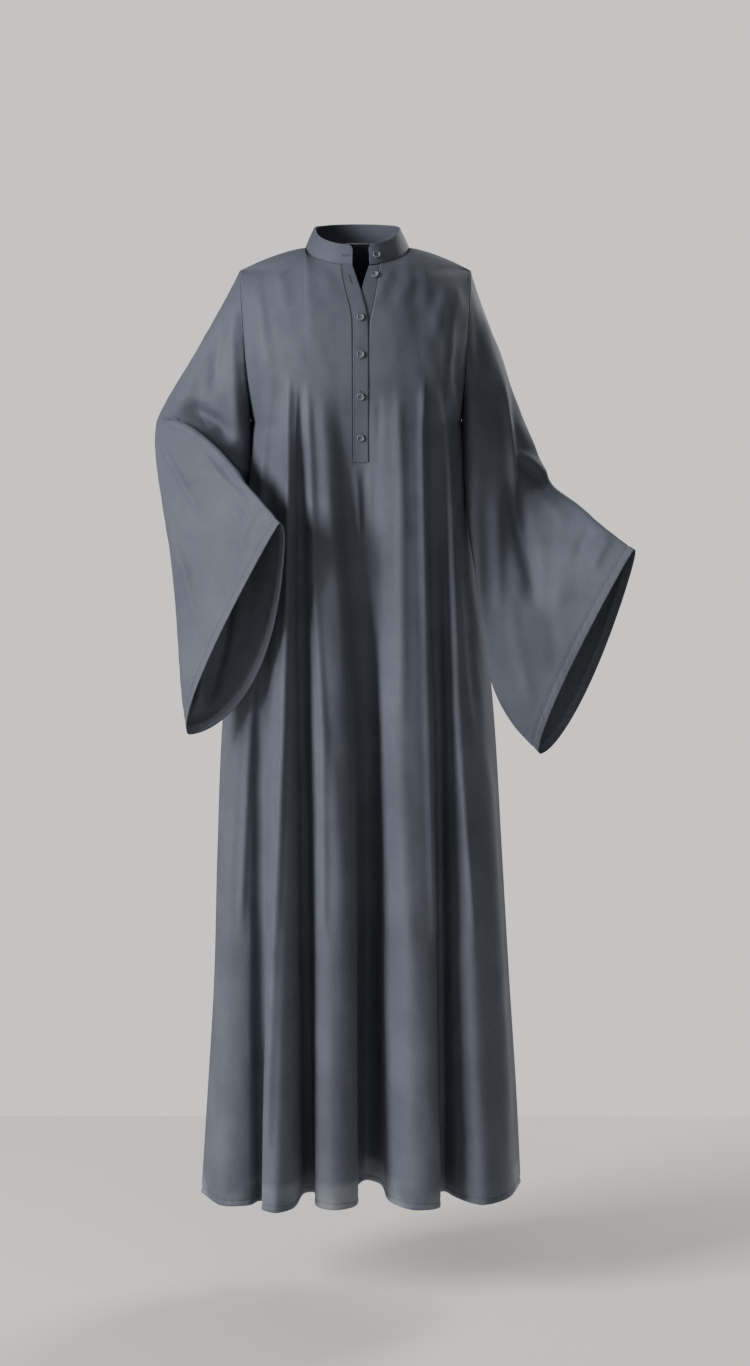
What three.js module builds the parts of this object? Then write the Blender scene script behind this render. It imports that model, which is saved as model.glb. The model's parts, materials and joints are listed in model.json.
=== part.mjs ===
// Abaya in its worn, hollow form: flared body, wide bell sleeves over bent arms, stand collar and
// a part-open button placket. Millimetres, +Z up, -Y is the front, the wearer's right is at -X.
// The origin is the middle of the neck base, between the two shoulder seams.
import * as THREE from "three";

// ---------------------------------------------------------------- driving dimensions
const WALL = 1.6; // modelled cloth thickness
const SEAM_GAP = 0.3; // clearance between pieces at a seam
const ARMHOLE_GAP = 0.42; // the same along X, where the armhole's edge slants
const BUST_Z = -190; // level where the yoke ends and the cloth starts to fall
const UNDERARM_Z = -250;
const MID_Z = -715;
const HEM_Z = -1449;

// The armholes are upright ovals, each in a plane that leans out towards the shoulder.
const ARMHOLE = {
  top: -30,
  low: UNDERARM_Z,
  right: { tipX: -175.5, lowX: -160 },
  left: { tipX: 168, lowX: 155 },
  tipY: 5,
  front: 55,
  back: 60,
};

// The neckline is an egg-shaped ring that dips at the front.
const NECK = { sideX: 77, offset: -1, front: 76, back: 56, sideZ: 4, dip: 24, rise: 4 };

// How the yoke runs from its top edge to the bust: the slope at which it leaves the middle of the
// neckline, how much of the shoulder's drop is straight, how late the rest of it comes, and how
// far from the armhole the yoke still bends to its edge.
const YOKE = { leaveAngle: 32, straightDrop: 0.25, lateDrop: 1.6, armholeReach: 45 };

// The folds of the skirt grow from the bust to the hem by this power of the way down.
const FOLD_GROWTH = 0.9;

// Base sections of the body by height: half-widths, depths and how square each section is.
const BODY = [
  { z: -190, right: -164.2, left: 158.5, front: -130, back: 108, square: 2.6, rightY: 0, leftY: 0 },
  { z: -250, right: -160, left: 155, front: -131, back: 112, square: 3.4, rightY: 0, leftY: 0 },
  { z: -340, right: -168, left: 164, front: -128, back: 115, square: 3.2, rightY: 0, leftY: 0 },
  { z: -420, right: -176, left: 174, front: -125, back: 118, square: 3.0, rightY: 0, leftY: 2 },
  { z: -573, right: -192, left: 194, front: -120, back: 124, square: 2.8, rightY: -2, leftY: 4 },
  { z: -715, right: -207, left: 208, front: -117, back: 130, square: 2.7, rightY: -4, leftY: 8 },
  { z: -919, right: -216, left: 221, front: -115, back: 140, square: 2.6, rightY: -8, leftY: 14 },
  { z: -1110, right: -222, left: 233, front: -114, back: 150, square: 2.6, rightY: -12, leftY: 20 },
  { z: -1300, right: -234, left: 246, front: -113, back: 160, square: 2.6, rightY: -16, leftY: 27 },
  { z: -1449, right: -244, left: 254, front: -112, back: 168, square: 2.6, rightY: -20, leftY: 32 },
];

// Fold lines of the front, from the wearer's right to left: the place of each at the shoulder or
// neck edge, at bust level, at mid height and at the hem, with its depth at the hem.
const FRONT_FOLDS = [
  { name: "side_right", top: -175.5, bust: -164.2, mid: -207, hem: -244, hemY: -20 },
  { name: "crest_a", top: -152, bust: -140, mid: -182, hem: -206, hemY: -88 },
  { name: "shelf_a", top: -140, bust: -130, mid: -160, hem: -166, hemY: -84 },
  { name: "valley_ab", top: -130, bust: -121, mid: -148, hem: -153, hemY: -64 },
  { name: "floor_ab", top: -121, bust: -114, mid: -138, hem: -142, hemY: -66 },
  { name: "edge_b", top: -112, bust: -106, mid: -126, hem: -148, hemY: -104 },
  { name: "crest_b", top: -103, bust: -97, mid: -111, hem: -126, hemY: -124 },
  { name: "flank_b", top: -94, bust: -89, mid: -97, hem: -100, hemY: -104 },
  { name: "valley_bc", top: -88, bust: -84, mid: -87, hem: -82, hemY: -24 },
  { name: "floor_bc", top: -83, bust: -79, mid: -78, hem: -70, hemY: -20 },
  { name: "edge_c", top: -78, bust: -73, mid: -60, hem: -63, hemY: -92 },
  { name: "crest_c", top: -70, bust: -60, mid: -44, hem: -38, hemY: -109 },
  { name: "flank_c", top: -58, bust: -45, mid: -16, hem: -5, hemY: -90 },
  { name: "hollow", top: -42, bust: -27, mid: -2, hem: -1, hemY: 14 },
  { name: "placket_right", top: -24, bust: -7, mid: 12, hem: 12, hemY: 42 },
  { name: "placket_left", top: 33, bust: 16.5, mid: 27, hem: 32, hemY: 24 },
  { name: "flank_d", top: 50, bust: 36, mid: 42, hem: 48, hemY: -66 },
  { name: "crest_d", top: 66, bust: 60, mid: 68, hem: 86, hemY: -110 },
  { name: "edge_d", top: 76, bust: 97, mid: 105, hem: 123, hemY: -100 },
  { name: "valley_de", top: 92, bust: 106, mid: 116, hem: 124, hemY: -22 },
  { name: "floor_de", top: 102, bust: 113, mid: 124, hem: 133, hemY: -16 },
  { name: "flank_e", top: 114, bust: 122, mid: 136, hem: 152, hemY: -48 },
  { name: "crest_e", top: 128, bust: 130, mid: 156, hem: 190, hemY: -83 },
  { name: "shelf_e", top: 148, bust: 145, mid: 186, hem: 230, hemY: -52 },
  { name: "side_left", top: 168, bust: 158.5, mid: 208, hem: 254, hemY: 32 },
];

// Fold lines of the back, from the wearer's left to right.
const BACK_FOLDS = [
  { name: "side_left", top: 168, bust: 158.5, mid: 208, hem: 254, hemY: 32 },
  { name: "crest_f", top: 148, bust: 140, mid: 184, hem: 222, hemY: 116 },
  { name: "valley_fg", top: 128, bust: 120, mid: 154, hem: 182, hemY: 90 },
  { name: "edge_g", top: 108, bust: 100, mid: 130, hem: 154, hemY: 156 },
  { name: "crest_g", top: 90, bust: 80, mid: 102, hem: 120, hemY: 170 },
  { name: "valley_gh", top: 76, bust: 56, mid: 70, hem: 78, hemY: 114 },
  { name: "edge_h", top: 54, bust: 36, mid: 42, hem: 48, hemY: 176 },
  { name: "crest_h", top: 22, bust: 14, mid: 14, hem: 12, hemY: 182 },
  { name: "valley_hi", top: -12, bust: -14, mid: -22, hem: -27, hemY: 120 },
  { name: "edge_i", top: -46, bust: -40, mid: -54, hem: -62, hemY: 170 },
  { name: "crest_i", top: -78, bust: -64, mid: -82, hem: -95, hemY: 174 },
  { name: "valley_ij", top: -98, bust: -90, mid: -112, hem: -130, hemY: 102 },
  { name: "crest_j", top: -120, bust: -112, mid: -142, hem: -166, hemY: 142 },
  { name: "valley_jk", top: -140, bust: -130, mid: -166, hem: -194, hemY: 88 },
  { name: "crest_k", top: -158, bust: -148, mid: -188, hem: -222, hemY: 86 },
  { name: "side_right", top: -175.5, bust: -164.2, mid: -207, hem: -244, hemY: -20 },
];

// Edges of the placket by height: the outer edges are the slit in the front, the overlap is the
// free edge of the upper strip and the inner edge that of the lower strip.
const PLACKET_FOOT_Z = -306;
const PLACKET = [
  { z: -18, slitRight: -24, overlap: -8, inner: 17, slitLeft: 33 },
  { z: -35, slitRight: -22, overlap: -2, inner: 11, slitLeft: 30.5 },
  { z: -55, slitRight: -17, overlap: 5, inner: 5.5, slitLeft: 27.5 },
  { z: -75, slitRight: -11, overlap: 10.5, inner: 1, slitLeft: 23.5 },
  { z: -95, slitRight: -7.5, overlap: 15, inner: -1, slitLeft: 18.5 },
  { z: -120, slitRight: -7, overlap: 16, inner: -2, slitLeft: 16.5 },
  { z: PLACKET_FOOT_Z, slitRight: -7, overlap: 16, inner: -2, slitLeft: 16.5 },
];
const OVER_LIFT = 1.2; // outer face of the upper strip, proud of the front
const UNDER_LIFT = -0.8; // outer face of the lower strip, behind the upper one

// The collar leans in to topShare of the neckline at its top edge, a little less at its ends.
const COLLAR = {
  height: 29,
  wall: 2.4,
  endRight: -8,
  endLeft: 18,
  topShare: 0.83,
  endLean: 0.75,
  endRadius: 8,
};
const BUTTON = { radius: 5.5, thick: 2.6, rim: 1.3, sunk: 0.9, edge: 0.7 };
const FASTENED_BUTTONS_Z = [-94, -147, -208, -269];
const BUTTON_X = 4.6;
const NECK_BUTTON = { x: 25.5, z: -33 };

// The collar's button: its angle round the neck from the front, how far up the collar it sits,
// and how far its back stands off the collar's leaning face.
const COLLAR_BUTTON = { angle: 23.15, up: 0.45, drawn: 0.4, off: 0.5 };

// Sleeve sections from armhole to cuff: highest and lowest point, bulge of the cloth that lies on
// the front of the upper arm and of the cloth on its back, how far the section has turned in
// degrees, and how far its fullness has sunk from the arm (-) to the low edge (+).
const RIGHT_SLEEVE = [
  { top: [-208, 3, -92], low: [-167, -10, -302], front: 52, back: 50, turn: 15, sag: -0.25 },
  { top: [-246, 0, -160], low: [-176, -20, -356], front: 52, back: 44, turn: 27, sag: -0.2 },
  { top: [-276, -5, -212], low: [-208, -33, -404], front: 52, back: 40, turn: 44, sag: -0.1 },
  { top: [-291, -14, -246], low: [-238, -50, -470], front: 66, back: 36, turn: 58, sag: 0 },
  { top: [-264, -48, -257], low: [-248, -68, -540], front: 62, back: 30, turn: 72, sag: 0.1 },
  { top: [-224, -84, -279], low: [-252, -84, -604], front: 54, back: 26, turn: 90, sag: 0.25 },
  { top: [-172, -134, -328], low: [-254, -98, -664], front: 58, back: 23, turn: 105, sag: 0.4 },
  { top: [-112, -205, -386], low: [-250, -110, -713], front: 62, back: 21, turn: 114, sag: 0.5 },
];
const LEFT_SLEEVE = [
  { top: [188, 4, -92], low: [163, -14, -290], front: 50, back: 50, turn: 12, sag: -0.25 },
  { top: [210, 4, -157], low: [167, -36, -345], front: 48, back: 46, turn: 22, sag: -0.2 },
  { top: [234, 4, -224], low: [173, -50, -420], front: 46, back: 44, turn: 28, sag: -0.1 },
  { top: [261, 3, -287], low: [182, -56, -490], front: 44, back: 42, turn: 34, sag: 0 },
  { top: [289, 0, -346], low: [193, -60, -570], front: 40, back: 40, turn: 40, sag: 0.1 },
  { top: [330, -38, -378], low: [205, -62, -645], front: 34, back: 40, turn: 45, sag: 0.2 },
  { top: [367, -80, -407], low: [232, -60, -702], front: 28, back: 38, turn: 48, sag: 0.3 },
  { top: [408, -120, -434], low: [275, -60, -751], front: 20, back: 36, turn: 49, sag: 0.4 },
];

// Mesh steps
const YOKE_STEPS = 7;
const FALL_LEVELS = [
  -222, UNDERARM_Z, PLACKET_FOOT_Z, -380, -470, -580, MID_Z, -860, -1010, -1160, -1310, HEM_Z,
];
const FRONT_STEPS = 2;
const BACK_STEPS = 3;
const SLEEVE_STEPS = 2;
const SLEEVE_POINTS = 24;
const STRIP_ROWS = 14;
const STRIP_COLS = 4;
const STRIP_CROWDING = 1.35; // above 1, the rows lie closer together near the neck
const BUTTON_SIDES = 14;

// ---------------------------------------------------------------- small maths
const lerp = (a, b, t) => a + (b - a) * t;
const clamp01 = (t) => Math.min(1, Math.max(0, t));
const degrees = (angle) => (angle * Math.PI) / 180;

// Value of a column at height z, on a smooth curve through the rows of a table.
function through(rows, key, z) {
  const last = rows.length - 1;
  let k = 0;
  while (k < last - 1 && z < rows[k + 1].z) k += 1;
  const t = (z - rows[k].z) / (rows[k + 1].z - rows[k].z);
  const slope = (i) => {
    const a = rows[Math.max(0, i - 1)];
    const b = rows[Math.min(last, i + 1)];
    return (b[key] - a[key]) / (b.z - a.z);
  };
  const span = rows[k + 1].z - rows[k].z;
  const s = clamp01(t);
  const later = 3 * s ** 2 - 2 * s ** 3;
  const curve = (1 - later) * rows[k][key] + later * rows[k + 1][key];
  return curve + span * ((s ** 3 - 2 * s ** 2 + s) * slope(k) + (s ** 3 - s ** 2) * slope(k + 1));
}

// Value of a column at height z, on straight lines between the rows of a table.
function straight(rows, key, z) {
  let k = 0;
  while (k < rows.length - 2 && z < rows[k + 1].z) k += 1;
  return lerp(rows[k][key], rows[k + 1][key], clamp01((z - rows[k].z) / (rows[k + 1].z - rows[k].z)));
}

// ---------------------------------------------------------------- edges of the body
const armholeX = (side, z) => {
  const share = (z - ARMHOLE.top) / (ARMHOLE.low - ARMHOLE.top);
  return lerp(ARMHOLE[side].tipX, ARMHOLE[side].lowX, share);
};

// Depth of the armhole edge at height z: facing -1 is its front half, +1 its back half.
function armholeY(z, facing) {
  const middle = (ARMHOLE.top + ARMHOLE.low) / 2;
  const half = (ARMHOLE.top - ARMHOLE.low) / 2;
  const share = (z - ARMHOLE.top) / (ARMHOLE.low - ARMHOLE.top);
  const bulge = Math.sqrt(Math.max(0, 1 - ((z - middle) / half) ** 2));
  return lerp(ARMHOLE.tipY, 0, share) + facing * bulge * (facing < 0 ? ARMHOLE.front : ARMHOLE.back);
}

// Point of the neckline at an angle round the neck: 0 is the front, 90 the wearer's left.
function neckPoint(angle) {
  const forward = Math.cos(angle);
  const x = NECK.offset + NECK.sideX * Math.sin(angle);
  if (forward >= 0) {
    return new THREE.Vector3(x, -NECK.front * forward, NECK.sideZ - NECK.dip * forward);
  }
  return new THREE.Vector3(x, -NECK.back * forward, NECK.sideZ - NECK.rise * forward);
}

const onShoulder = (x) => Math.abs(x - NECK.offset) > NECK.sideX - 0.01;
const onNeck = (x) => Math.abs(x - NECK.offset) <= NECK.sideX;
const neckAngle = (x) => Math.asin((x - NECK.offset) / NECK.sideX);

// Top edge of a panel at x: the neckline inside the neck points, the shoulder seam outside them.
function topPoint(x, facing) {
  if (onNeck(x)) return neckPoint(facing < 0 ? neckAngle(x) : Math.PI - neckAngle(x));
  const side = x < 0 ? "right" : "left";
  const start = NECK.offset + Math.sign(x) * NECK.sideX;
  const share = (x - start) / (ARMHOLE[side].tipX - start);
  const droop = YOKE.straightDrop * share + (1 - YOKE.straightDrop) * share ** YOKE.lateDrop;
  const y = lerp(0, ARMHOLE.tipY, share);
  return new THREE.Vector3(x, y, lerp(NECK.sideZ, ARMHOLE.top, droop));
}

// ---------------------------------------------------------------- body surfaces
const sideY = (side, z, facing) => (z > UNDERARM_Z ? armholeY(z, facing) : through(BODY, `${side}Y`, z));
const sideX = (side, z) => (z > UNDERARM_Z ? armholeX(side, z) : through(BODY, side, z));

// Depth of the unfolded body section at x and height z.
function baseY(x, z, facing) {
  const side = x < 0 ? "right" : "left";
  const reach = clamp01(Math.abs(x / sideX(side, z)));
  const middle = through(BODY, facing < 0 ? "front" : "back", z);
  const edge = sideY(side, z, facing);
  return edge + (middle - edge) * Math.sqrt(1 - reach ** through(BODY, "square", z));
}

// Where a fold line is at height z, and how deep its fold has grown there.
function foldPoint(fold, z, facing) {
  const places = [
    { z: BUST_Z, x: fold.bust },
    { z: MID_Z, x: fold.mid },
    { z: HEM_Z, x: fold.hem },
  ];
  let x = through(places, "x", z);
  const isSide = fold.name.startsWith("side_");
  if (isSide) x = sideX(fold.name.replace("side_", ""), z);
  if (fold.name.startsWith("placket_") && z > PLACKET_FOOT_Z - 1) x = fold.bust;
  const grown = clamp01((BUST_Z - z) / (BUST_Z - HEM_Z)) ** FOLD_GROWTH;
  const depth = fold.hemY - baseY(fold.hem, HEM_Z, facing);
  return new THREE.Vector3(x, baseY(x, z, facing) + (isSide ? 0 : grown * depth), z);
}

// Smooth section of a panel at height z, at or below the bust.
const sectionCurve = (folds, z, facing) =>
  new THREE.CatmullRomCurve3(folds.map((fold) => foldPoint(fold, z, facing)), false, "centripetal");

// A panel's surface as a function of place across (in fold lines) and height.
function makePanel(folds, facing) {
  const last = folds.length - 1;
  const bust = sectionCurve(folds, BUST_Z, facing);
  const topX = (place) => {
    const k = Math.min(last - 1, Math.floor(place));
    const [from, to] = [folds[k].top, folds[k + 1].top];
    if (!onNeck(from) || !onNeck(to)) return lerp(from, to, place - k);
    return NECK.offset + NECK.sideX * Math.sin(lerp(neckAngle(from), neckAngle(to), place - k));
  };
  const topAt = (place) => topPoint(topX(place), facing);

  function yoke(place, z) {
    const top = topAt(place);
    const foot = bust.getPoint(place / last);
    const open = degrees(YOKE.leaveAngle) * (1 - clamp01(Math.abs(top.x) / NECK.sideX) ** 2);
    const share = clamp01((top.z - z) / (top.z - BUST_Z));
    const turn = Math.acos(Math.cos(open) * (1 - share));
    const out = (Math.sin(turn) - Math.sin(open)) / (1 - Math.sin(open));
    const point = new THREE.Vector3(lerp(top.x, foot.x, share), lerp(top.y, foot.y, out), z);
    for (const side of ["right", "left"]) {
      const away = Math.abs(point.x - armholeX(side, z)) / YOKE.armholeReach;
      const plain = lerp(ARMHOLE.tipY, armholeY(BUST_Z, facing), Math.sin(Math.acos(1 - share)));
      point.y += (armholeY(z, facing) - plain) * Math.exp(-away * away);
    }
    return point;
  }
  return {
    last,
    topAt,
    at: (place, z) => (z > BUST_Z ? yoke(place, z) : sectionCurve(folds, z, facing).getPoint(place / last)),
  };
}

const front = makePanel(FRONT_FOLDS, -1);
const back = makePanel(BACK_FOLDS, 1);
const SLIT_RIGHT = FRONT_FOLDS.findIndex((fold) => fold.name === "placket_right");
const SLIT_LEFT = FRONT_FOLDS.findIndex((fold) => fold.name === "placket_left");

// Point of the front near its middle, at a place between the two edges of the slit.
function chestPoint(x, z) {
  const slit = { from: straight(PLACKET, "slitRight", z), to: straight(PLACKET, "slitLeft", z) };
  const share = (x - slit.from) / (slit.to - slit.from);
  const point = front.at(SLIT_RIGHT + clamp01(share) * (SLIT_LEFT - SLIT_RIGHT), z);
  return new THREE.Vector3(x, point.y, z);
}

// ---------------------------------------------------------------- cloth walls
// Turns a grid of outer points into a closed wall. Rows run down and columns to the right, seen
// from outside. A grid that wraps is a tube. Cells that keep() refuses are left open, outward()
// may give the direction of the wall at a point, and lift moves the wall out of the surface.
const PLAIN_WALL = { wraps: false, keep: () => true, outward: () => null, wall: WALL, lift: 0 };

function clothWall(points, options) {
  const { wraps, keep, outward, wall, lift } = { ...PLAIN_WALL, ...options };
  const rows = points.length;
  const cols = points[0].length;
  const column = (j) => (wraps ? (j + cols) % cols : Math.min(cols - 1, Math.max(0, j)));
  const row = (i) => Math.min(rows - 1, Math.max(0, i));
  const positions = [];
  for (const depth of [lift, lift - wall]) {
    for (let i = 0; i < rows; i += 1) {
      for (let j = 0; j < cols; j += 1) {
        const down = points[row(i + 1)][j].clone().sub(points[row(i - 1)][j]);
        const across = points[i][column(j + 1)].clone().sub(points[i][column(j - 1)]);
        const normal = outward(i, j) ?? down.cross(across).normalize();
        positions.push(...points[i][j].clone().addScaledVector(normal, depth).toArray());
      }
    }
  }
  const inner = rows * cols;
  const index = [];
  const quad = (a, b, c, d) => index.push(a, b, c, a, c, d);
  const cells = wraps ? cols : cols - 1;
  const kept = (i, j) => i >= 0 && i < rows - 1 && (wraps || (j >= 0 && j < cells)) && keep(i, column(j));
  for (let i = 0; i < rows - 1; i += 1) {
    for (let j = 0; j < cells; j += 1) {
      if (!kept(i, j)) continue;
      const a = i * cols + j;
      const b = a + cols;
      const c = (i + 1) * cols + column(j + 1);
      const d = i * cols + column(j + 1);
      quad(a, b, c, d);
      quad(a + inner, d + inner, c + inner, b + inner);
      if (!kept(i, j - 1)) quad(a, a + inner, b + inner, b);
      if (!kept(i + 1, j)) quad(b, b + inner, c + inner, c);
      if (!kept(i, j + 1)) quad(c, c + inner, d + inner, d);
      if (!kept(i - 1, j)) quad(d, d + inner, a + inner, a);
    }
  }
  const geometry = new THREE.BufferGeometry();
  geometry.setAttribute("position", new THREE.Float32BufferAttribute(positions, 3));
  geometry.setIndex(index);
  geometry.computeVertexNormals();
  return geometry;
}

// ---------------------------------------------------------------- pieces
const materials = {
  cloth: new THREE.MeshStandardMaterial({ color: 0x5b616b, roughness: 0.85, metalness: 0 }),
  strip: new THREE.MeshStandardMaterial({ color: 0x575d67, roughness: 0.85, metalness: 0 }),
  button: new THREE.MeshStandardMaterial({ color: 0x4d535d, roughness: 0.45, metalness: 0 }),
};
const abaya = new THREE.Group();

function addPiece(name, geometry, material) {
  const mesh = new THREE.Mesh(geometry, material);
  mesh.name = name;
  abaya.add(mesh);
  return mesh;
}

// Outward direction of an armhole edge, in the armhole's own plane.
function armholeOutward(z, facing) {
  const middle = (ARMHOLE.top + ARMHOLE.low) / 2;
  const half = (ARMHOLE.top - ARMHOLE.low) / 2;
  const up = clamp01(Math.abs(z - middle) / half) * Math.sign(z - middle);
  const depth = facing < 0 ? ARMHOLE.front : ARMHOLE.back;
  return new THREE.Vector3(0, (facing * Math.sqrt(1 - up * up)) / depth, up / half).normalize();
}

function bodyPanel(name, panel, facing, steps) {
  const cols = panel.last * steps + 1;
  const points = [];
  const rowCount = YOKE_STEPS + 1 + FALL_LEVELS.length;
  for (let i = 0; i < rowCount; i += 1) {
    const row = [];
    for (let j = 0; j < cols; j += 1) {
      const place = j / steps;
      const top = panel.topAt(place);
      const drop = 1 - Math.cos(degrees((90 * i) / YOKE_STEPS));
      const z = i <= YOKE_STEPS ? lerp(top.z, BUST_Z, drop) : FALL_LEVELS[i - YOKE_STEPS - 1];
      const point = panel.at(place, z);
      if (i === 0 && onShoulder(top.x)) point.y += facing * SEAM_GAP * 0.5;
      if ((j === 0 || j === cols - 1) && z <= UNDERARM_Z) point.y += facing * SEAM_GAP * 0.5;
      row.push(point);
    }
    points.push(row);
  }
  if (facing < 0) {
    for (const row of points) {
      bendToSlit(row[SLIT_RIGHT * steps], "slitRight");
      bendToSlit(row[SLIT_LEFT * steps], "slitLeft");
    }
  }
  const footRow = YOKE_STEPS + 1 + FALL_LEVELS.indexOf(PLACKET_FOOT_Z);
  const inSlit = (j) => facing < 0 && j >= SLIT_RIGHT * steps && j < SLIT_LEFT * steps;
  const keep = (i, j) => !(i < footRow && inSlit(j));
  const outward = (i, j) => {
    const point = points[i][j];
    if (j === 0 || j === cols - 1) {
      if (point.z > UNDERARM_Z + 1) return armholeOutward(point.z, facing);
      return new THREE.Vector3(Math.sign(point.x), 0, 0);
    }
    if (i === 0 && onShoulder(point.x)) return new THREE.Vector3(0, 0, 1);
    return null;
  };
  return addPiece(name, clothWall(points, { keep, outward }), materials.cloth);
}

// Moves a point of the column at an edge of the slit onto that edge.
function bendToSlit(point, edge) {
  if (point.z > PLACKET_FOOT_Z - 1) point.x = straight(PLACKET, edge, point.z);
}

// One placket strip between two of the edges in the placket table.
function placketStrip(name, from, to, lift) {
  const points = [];
  for (let i = 0; i <= STRIP_ROWS; i += 1) {
    const row = [];
    for (let j = 0; j <= STRIP_COLS; j += 1) {
      const across = j / STRIP_COLS;
      const top = topPoint(lerp(PLACKET[0][from.edge], PLACKET[0][to.edge], across), -1);
      const drop = (i / STRIP_ROWS) ** STRIP_CROWDING;
      const z = lerp(top.z, PLACKET_FOOT_Z + SEAM_GAP, drop);
      const left = straight(PLACKET, from.edge, z) + from.inset;
      const right = straight(PLACKET, to.edge, z) + to.inset;
      row.push(chestPoint(lerp(left, right, across), z));
    }
    points.push(row);
  }
  return addPiece(name, clothWall(points, { lift }), materials.strip);
}

// Angles round the neck at which the pieces below the collar have their corners, so that the
// collar's foot follows their edge.
function collarAngles() {
  const strip = (from, to) => [0, 1, 2, 3].map((k) => neckAngle(lerp(from, to, k / 4)));
  const along = (panel, steps, from, to) => {
    const places = [];
    for (let j = Math.ceil(from * steps); j <= to * steps; j += 1) places.push(panel.topAt(j / steps));
    return places.filter((point) => onNeck(point.x));
  };
  const ahead = (point) => neckAngle(point.x);
  const behind = (point) => Math.PI - neckAngle(point.x);
  const turns = [
    ...strip(COLLAR.endLeft, PLACKET[0].slitLeft),
    ...along(front, FRONT_STEPS, SLIT_LEFT, front.last).map(ahead),
    ...along(back, BACK_STEPS, 0, back.last).map(behind),
    ...along(front, FRONT_STEPS, 0, SLIT_RIGHT).map((point) => 2 * Math.PI + ahead(point)),
    ...strip(COLLAR.endRight, PLACKET[0].slitRight).map((angle) => 2 * Math.PI + angle),
  ];
  return turns.sort((a, b) => a - b).filter((turn, k) => k === 0 || turn - turns[k - 1] > degrees(1));
}

// Stand collar: a band on the neckline, open at the front, with rounded ends.
function collarBand() {
  const angles = collarAngles();
  const [start, end] = [angles[0], angles[angles.length - 1]];
  const points = [1, 0.5, 0].map((share) =>
    angles.map((angle) => {
      const base = neckPoint(angle);
      const fromEnd = Math.min(angle - start, end - angle) * NECK.front;
      const short = Math.max(0, COLLAR.endRadius - fromEnd);
      const round = COLLAR.endRadius - Math.sqrt(COLLAR.endRadius ** 2 - short ** 2);
      const rise = (COLLAR.height - round) * share;
      const lean = lerp(COLLAR.endLean, 1, Math.abs(Math.sin(angle)));
      const draw = lerp(1, COLLAR.topShare, (rise / COLLAR.height) * lean);
      return new THREE.Vector3(base.x * draw, base.y * draw, base.z + 2 * SEAM_GAP + rise);
    }),
  );
  return addPiece("collar_band", clothWall(points, { wall: COLLAR.wall }), materials.strip);
}

// Disc button with a raised rim, its back on the given point, facing along the given direction.
function discButton(name, point, direction) {
  const { radius, thick, rim, sunk, edge } = BUTTON;
  const profile = [
    [0, 0],
    [radius - edge, 0],
    [radius, edge],
    [radius, thick - edge],
    [radius - edge, thick],
    [radius - rim, thick],
    [radius - rim - sunk, thick - sunk],
    [0, thick - sunk],
  ].map(([x, y]) => new THREE.Vector2(x, y));
  const geometry = new THREE.LatheGeometry(profile, BUTTON_SIDES);
  const mesh = addPiece(name, geometry, materials.button);
  mesh.quaternion.setFromUnitVectors(new THREE.Vector3(0, 1, 0), direction);
  mesh.position.copy(point).addScaledVector(direction, 2 * SEAM_GAP);
  return mesh;
}

// A button on the chest, over a surface that stands proud of the front by lift.
function chestButton(name, x, z, lift) {
  const span = 4;
  const down = chestPoint(x, z - span).sub(chestPoint(x, z + span));
  const direction = down.cross(new THREE.Vector3(1, 0, 0)).normalize();
  return discButton(name, chestPoint(x, z).addScaledVector(direction, lift), direction);
}

function collarButton() {
  const angle = degrees(COLLAR_BUTTON.angle);
  const span = degrees(3);
  const draw = lerp(1, COLLAR.topShare, COLLAR_BUTTON.drawn);
  const low = neckPoint(angle);
  const across = neckPoint(angle + span).sub(neckPoint(angle - span));
  const up = new THREE.Vector3(-low.x, -low.y, 0).setLength((1 - COLLAR.topShare) * NECK.front);
  up.z = COLLAR.height;
  const direction = across.cross(up).normalize();
  const foot = low.z + COLLAR_BUTTON.up * COLLAR.height;
  const point = new THREE.Vector3(low.x * draw, low.y * draw, foot);
  return discButton("button_collar", point.addScaledVector(direction, COLLAR_BUTTON.off), direction);
}

// Sleeve: a tube through its sections, from the armhole to the open cuff.
function sleeve(name, side, sections) {
  const outward = side === "right" ? -1 : 1;
  const armhole = {
    top: [ARMHOLE[side].tipX + outward * ARMHOLE_GAP, ARMHOLE.tipY, ARMHOLE.top],
    low: [ARMHOLE[side].lowX + outward * ARMHOLE_GAP, 0, ARMHOLE.low],
    front: ARMHOLE.front,
    back: ARMHOLE.back,
    turn: 0,
    sag: 0,
  };
  const all = [armhole, ...sections];
  const last = all.length - 1;
  const edge = (key) => {
    const corners = all.map((section) => new THREE.Vector3(...section[key]));
    return new THREE.CatmullRomCurve3(corners, false, "centripetal");
  };
  const tops = edge("top");
  const lows = edge("low");
  const rows = last * SLEEVE_STEPS;
  const points = [];
  for (let i = 0; i <= rows; i += 1) {
    const place = i / SLEEVE_STEPS;
    const k = Math.min(last - 1, Math.floor(place));
    const value = (key) => lerp(all[k][key], all[k + 1][key], place - k);
    const top = tops.getPoint(place / last);
    const low = lows.getPoint(place / last);
    const turn = degrees(value("turn"));
    const facing = new THREE.Vector3(-outward * Math.sin(turn), -Math.cos(turn), 0);
    const row = [];
    for (let j = 0; j < SLEEVE_POINTS; j += 1) {
      const angle = (-outward * 2 * Math.PI * j) / SLEEVE_POINTS;
      const share = (1 + Math.cos(angle)) / 2;
      const bulge = Math.sin(angle) * (1 - value("sag") * Math.cos(angle));
      const reach = bulge * (bulge > 0 ? value("front") : value("back"));
      row.push(low.clone().lerp(top, share).addScaledVector(facing, reach));
    }
    points.push(row);
  }
  const direction = (i, j) => {
    if (i > 0) return null;
    const angle = (-outward * 2 * Math.PI * j) / SLEEVE_POINTS;
    return armholeOutward(points[0][j].z, Math.sin(angle) >= 0 ? -1 : 1);
  };
  return addPiece(name, clothWall(points, { wraps: true, outward: direction }), materials.cloth);
}

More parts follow.
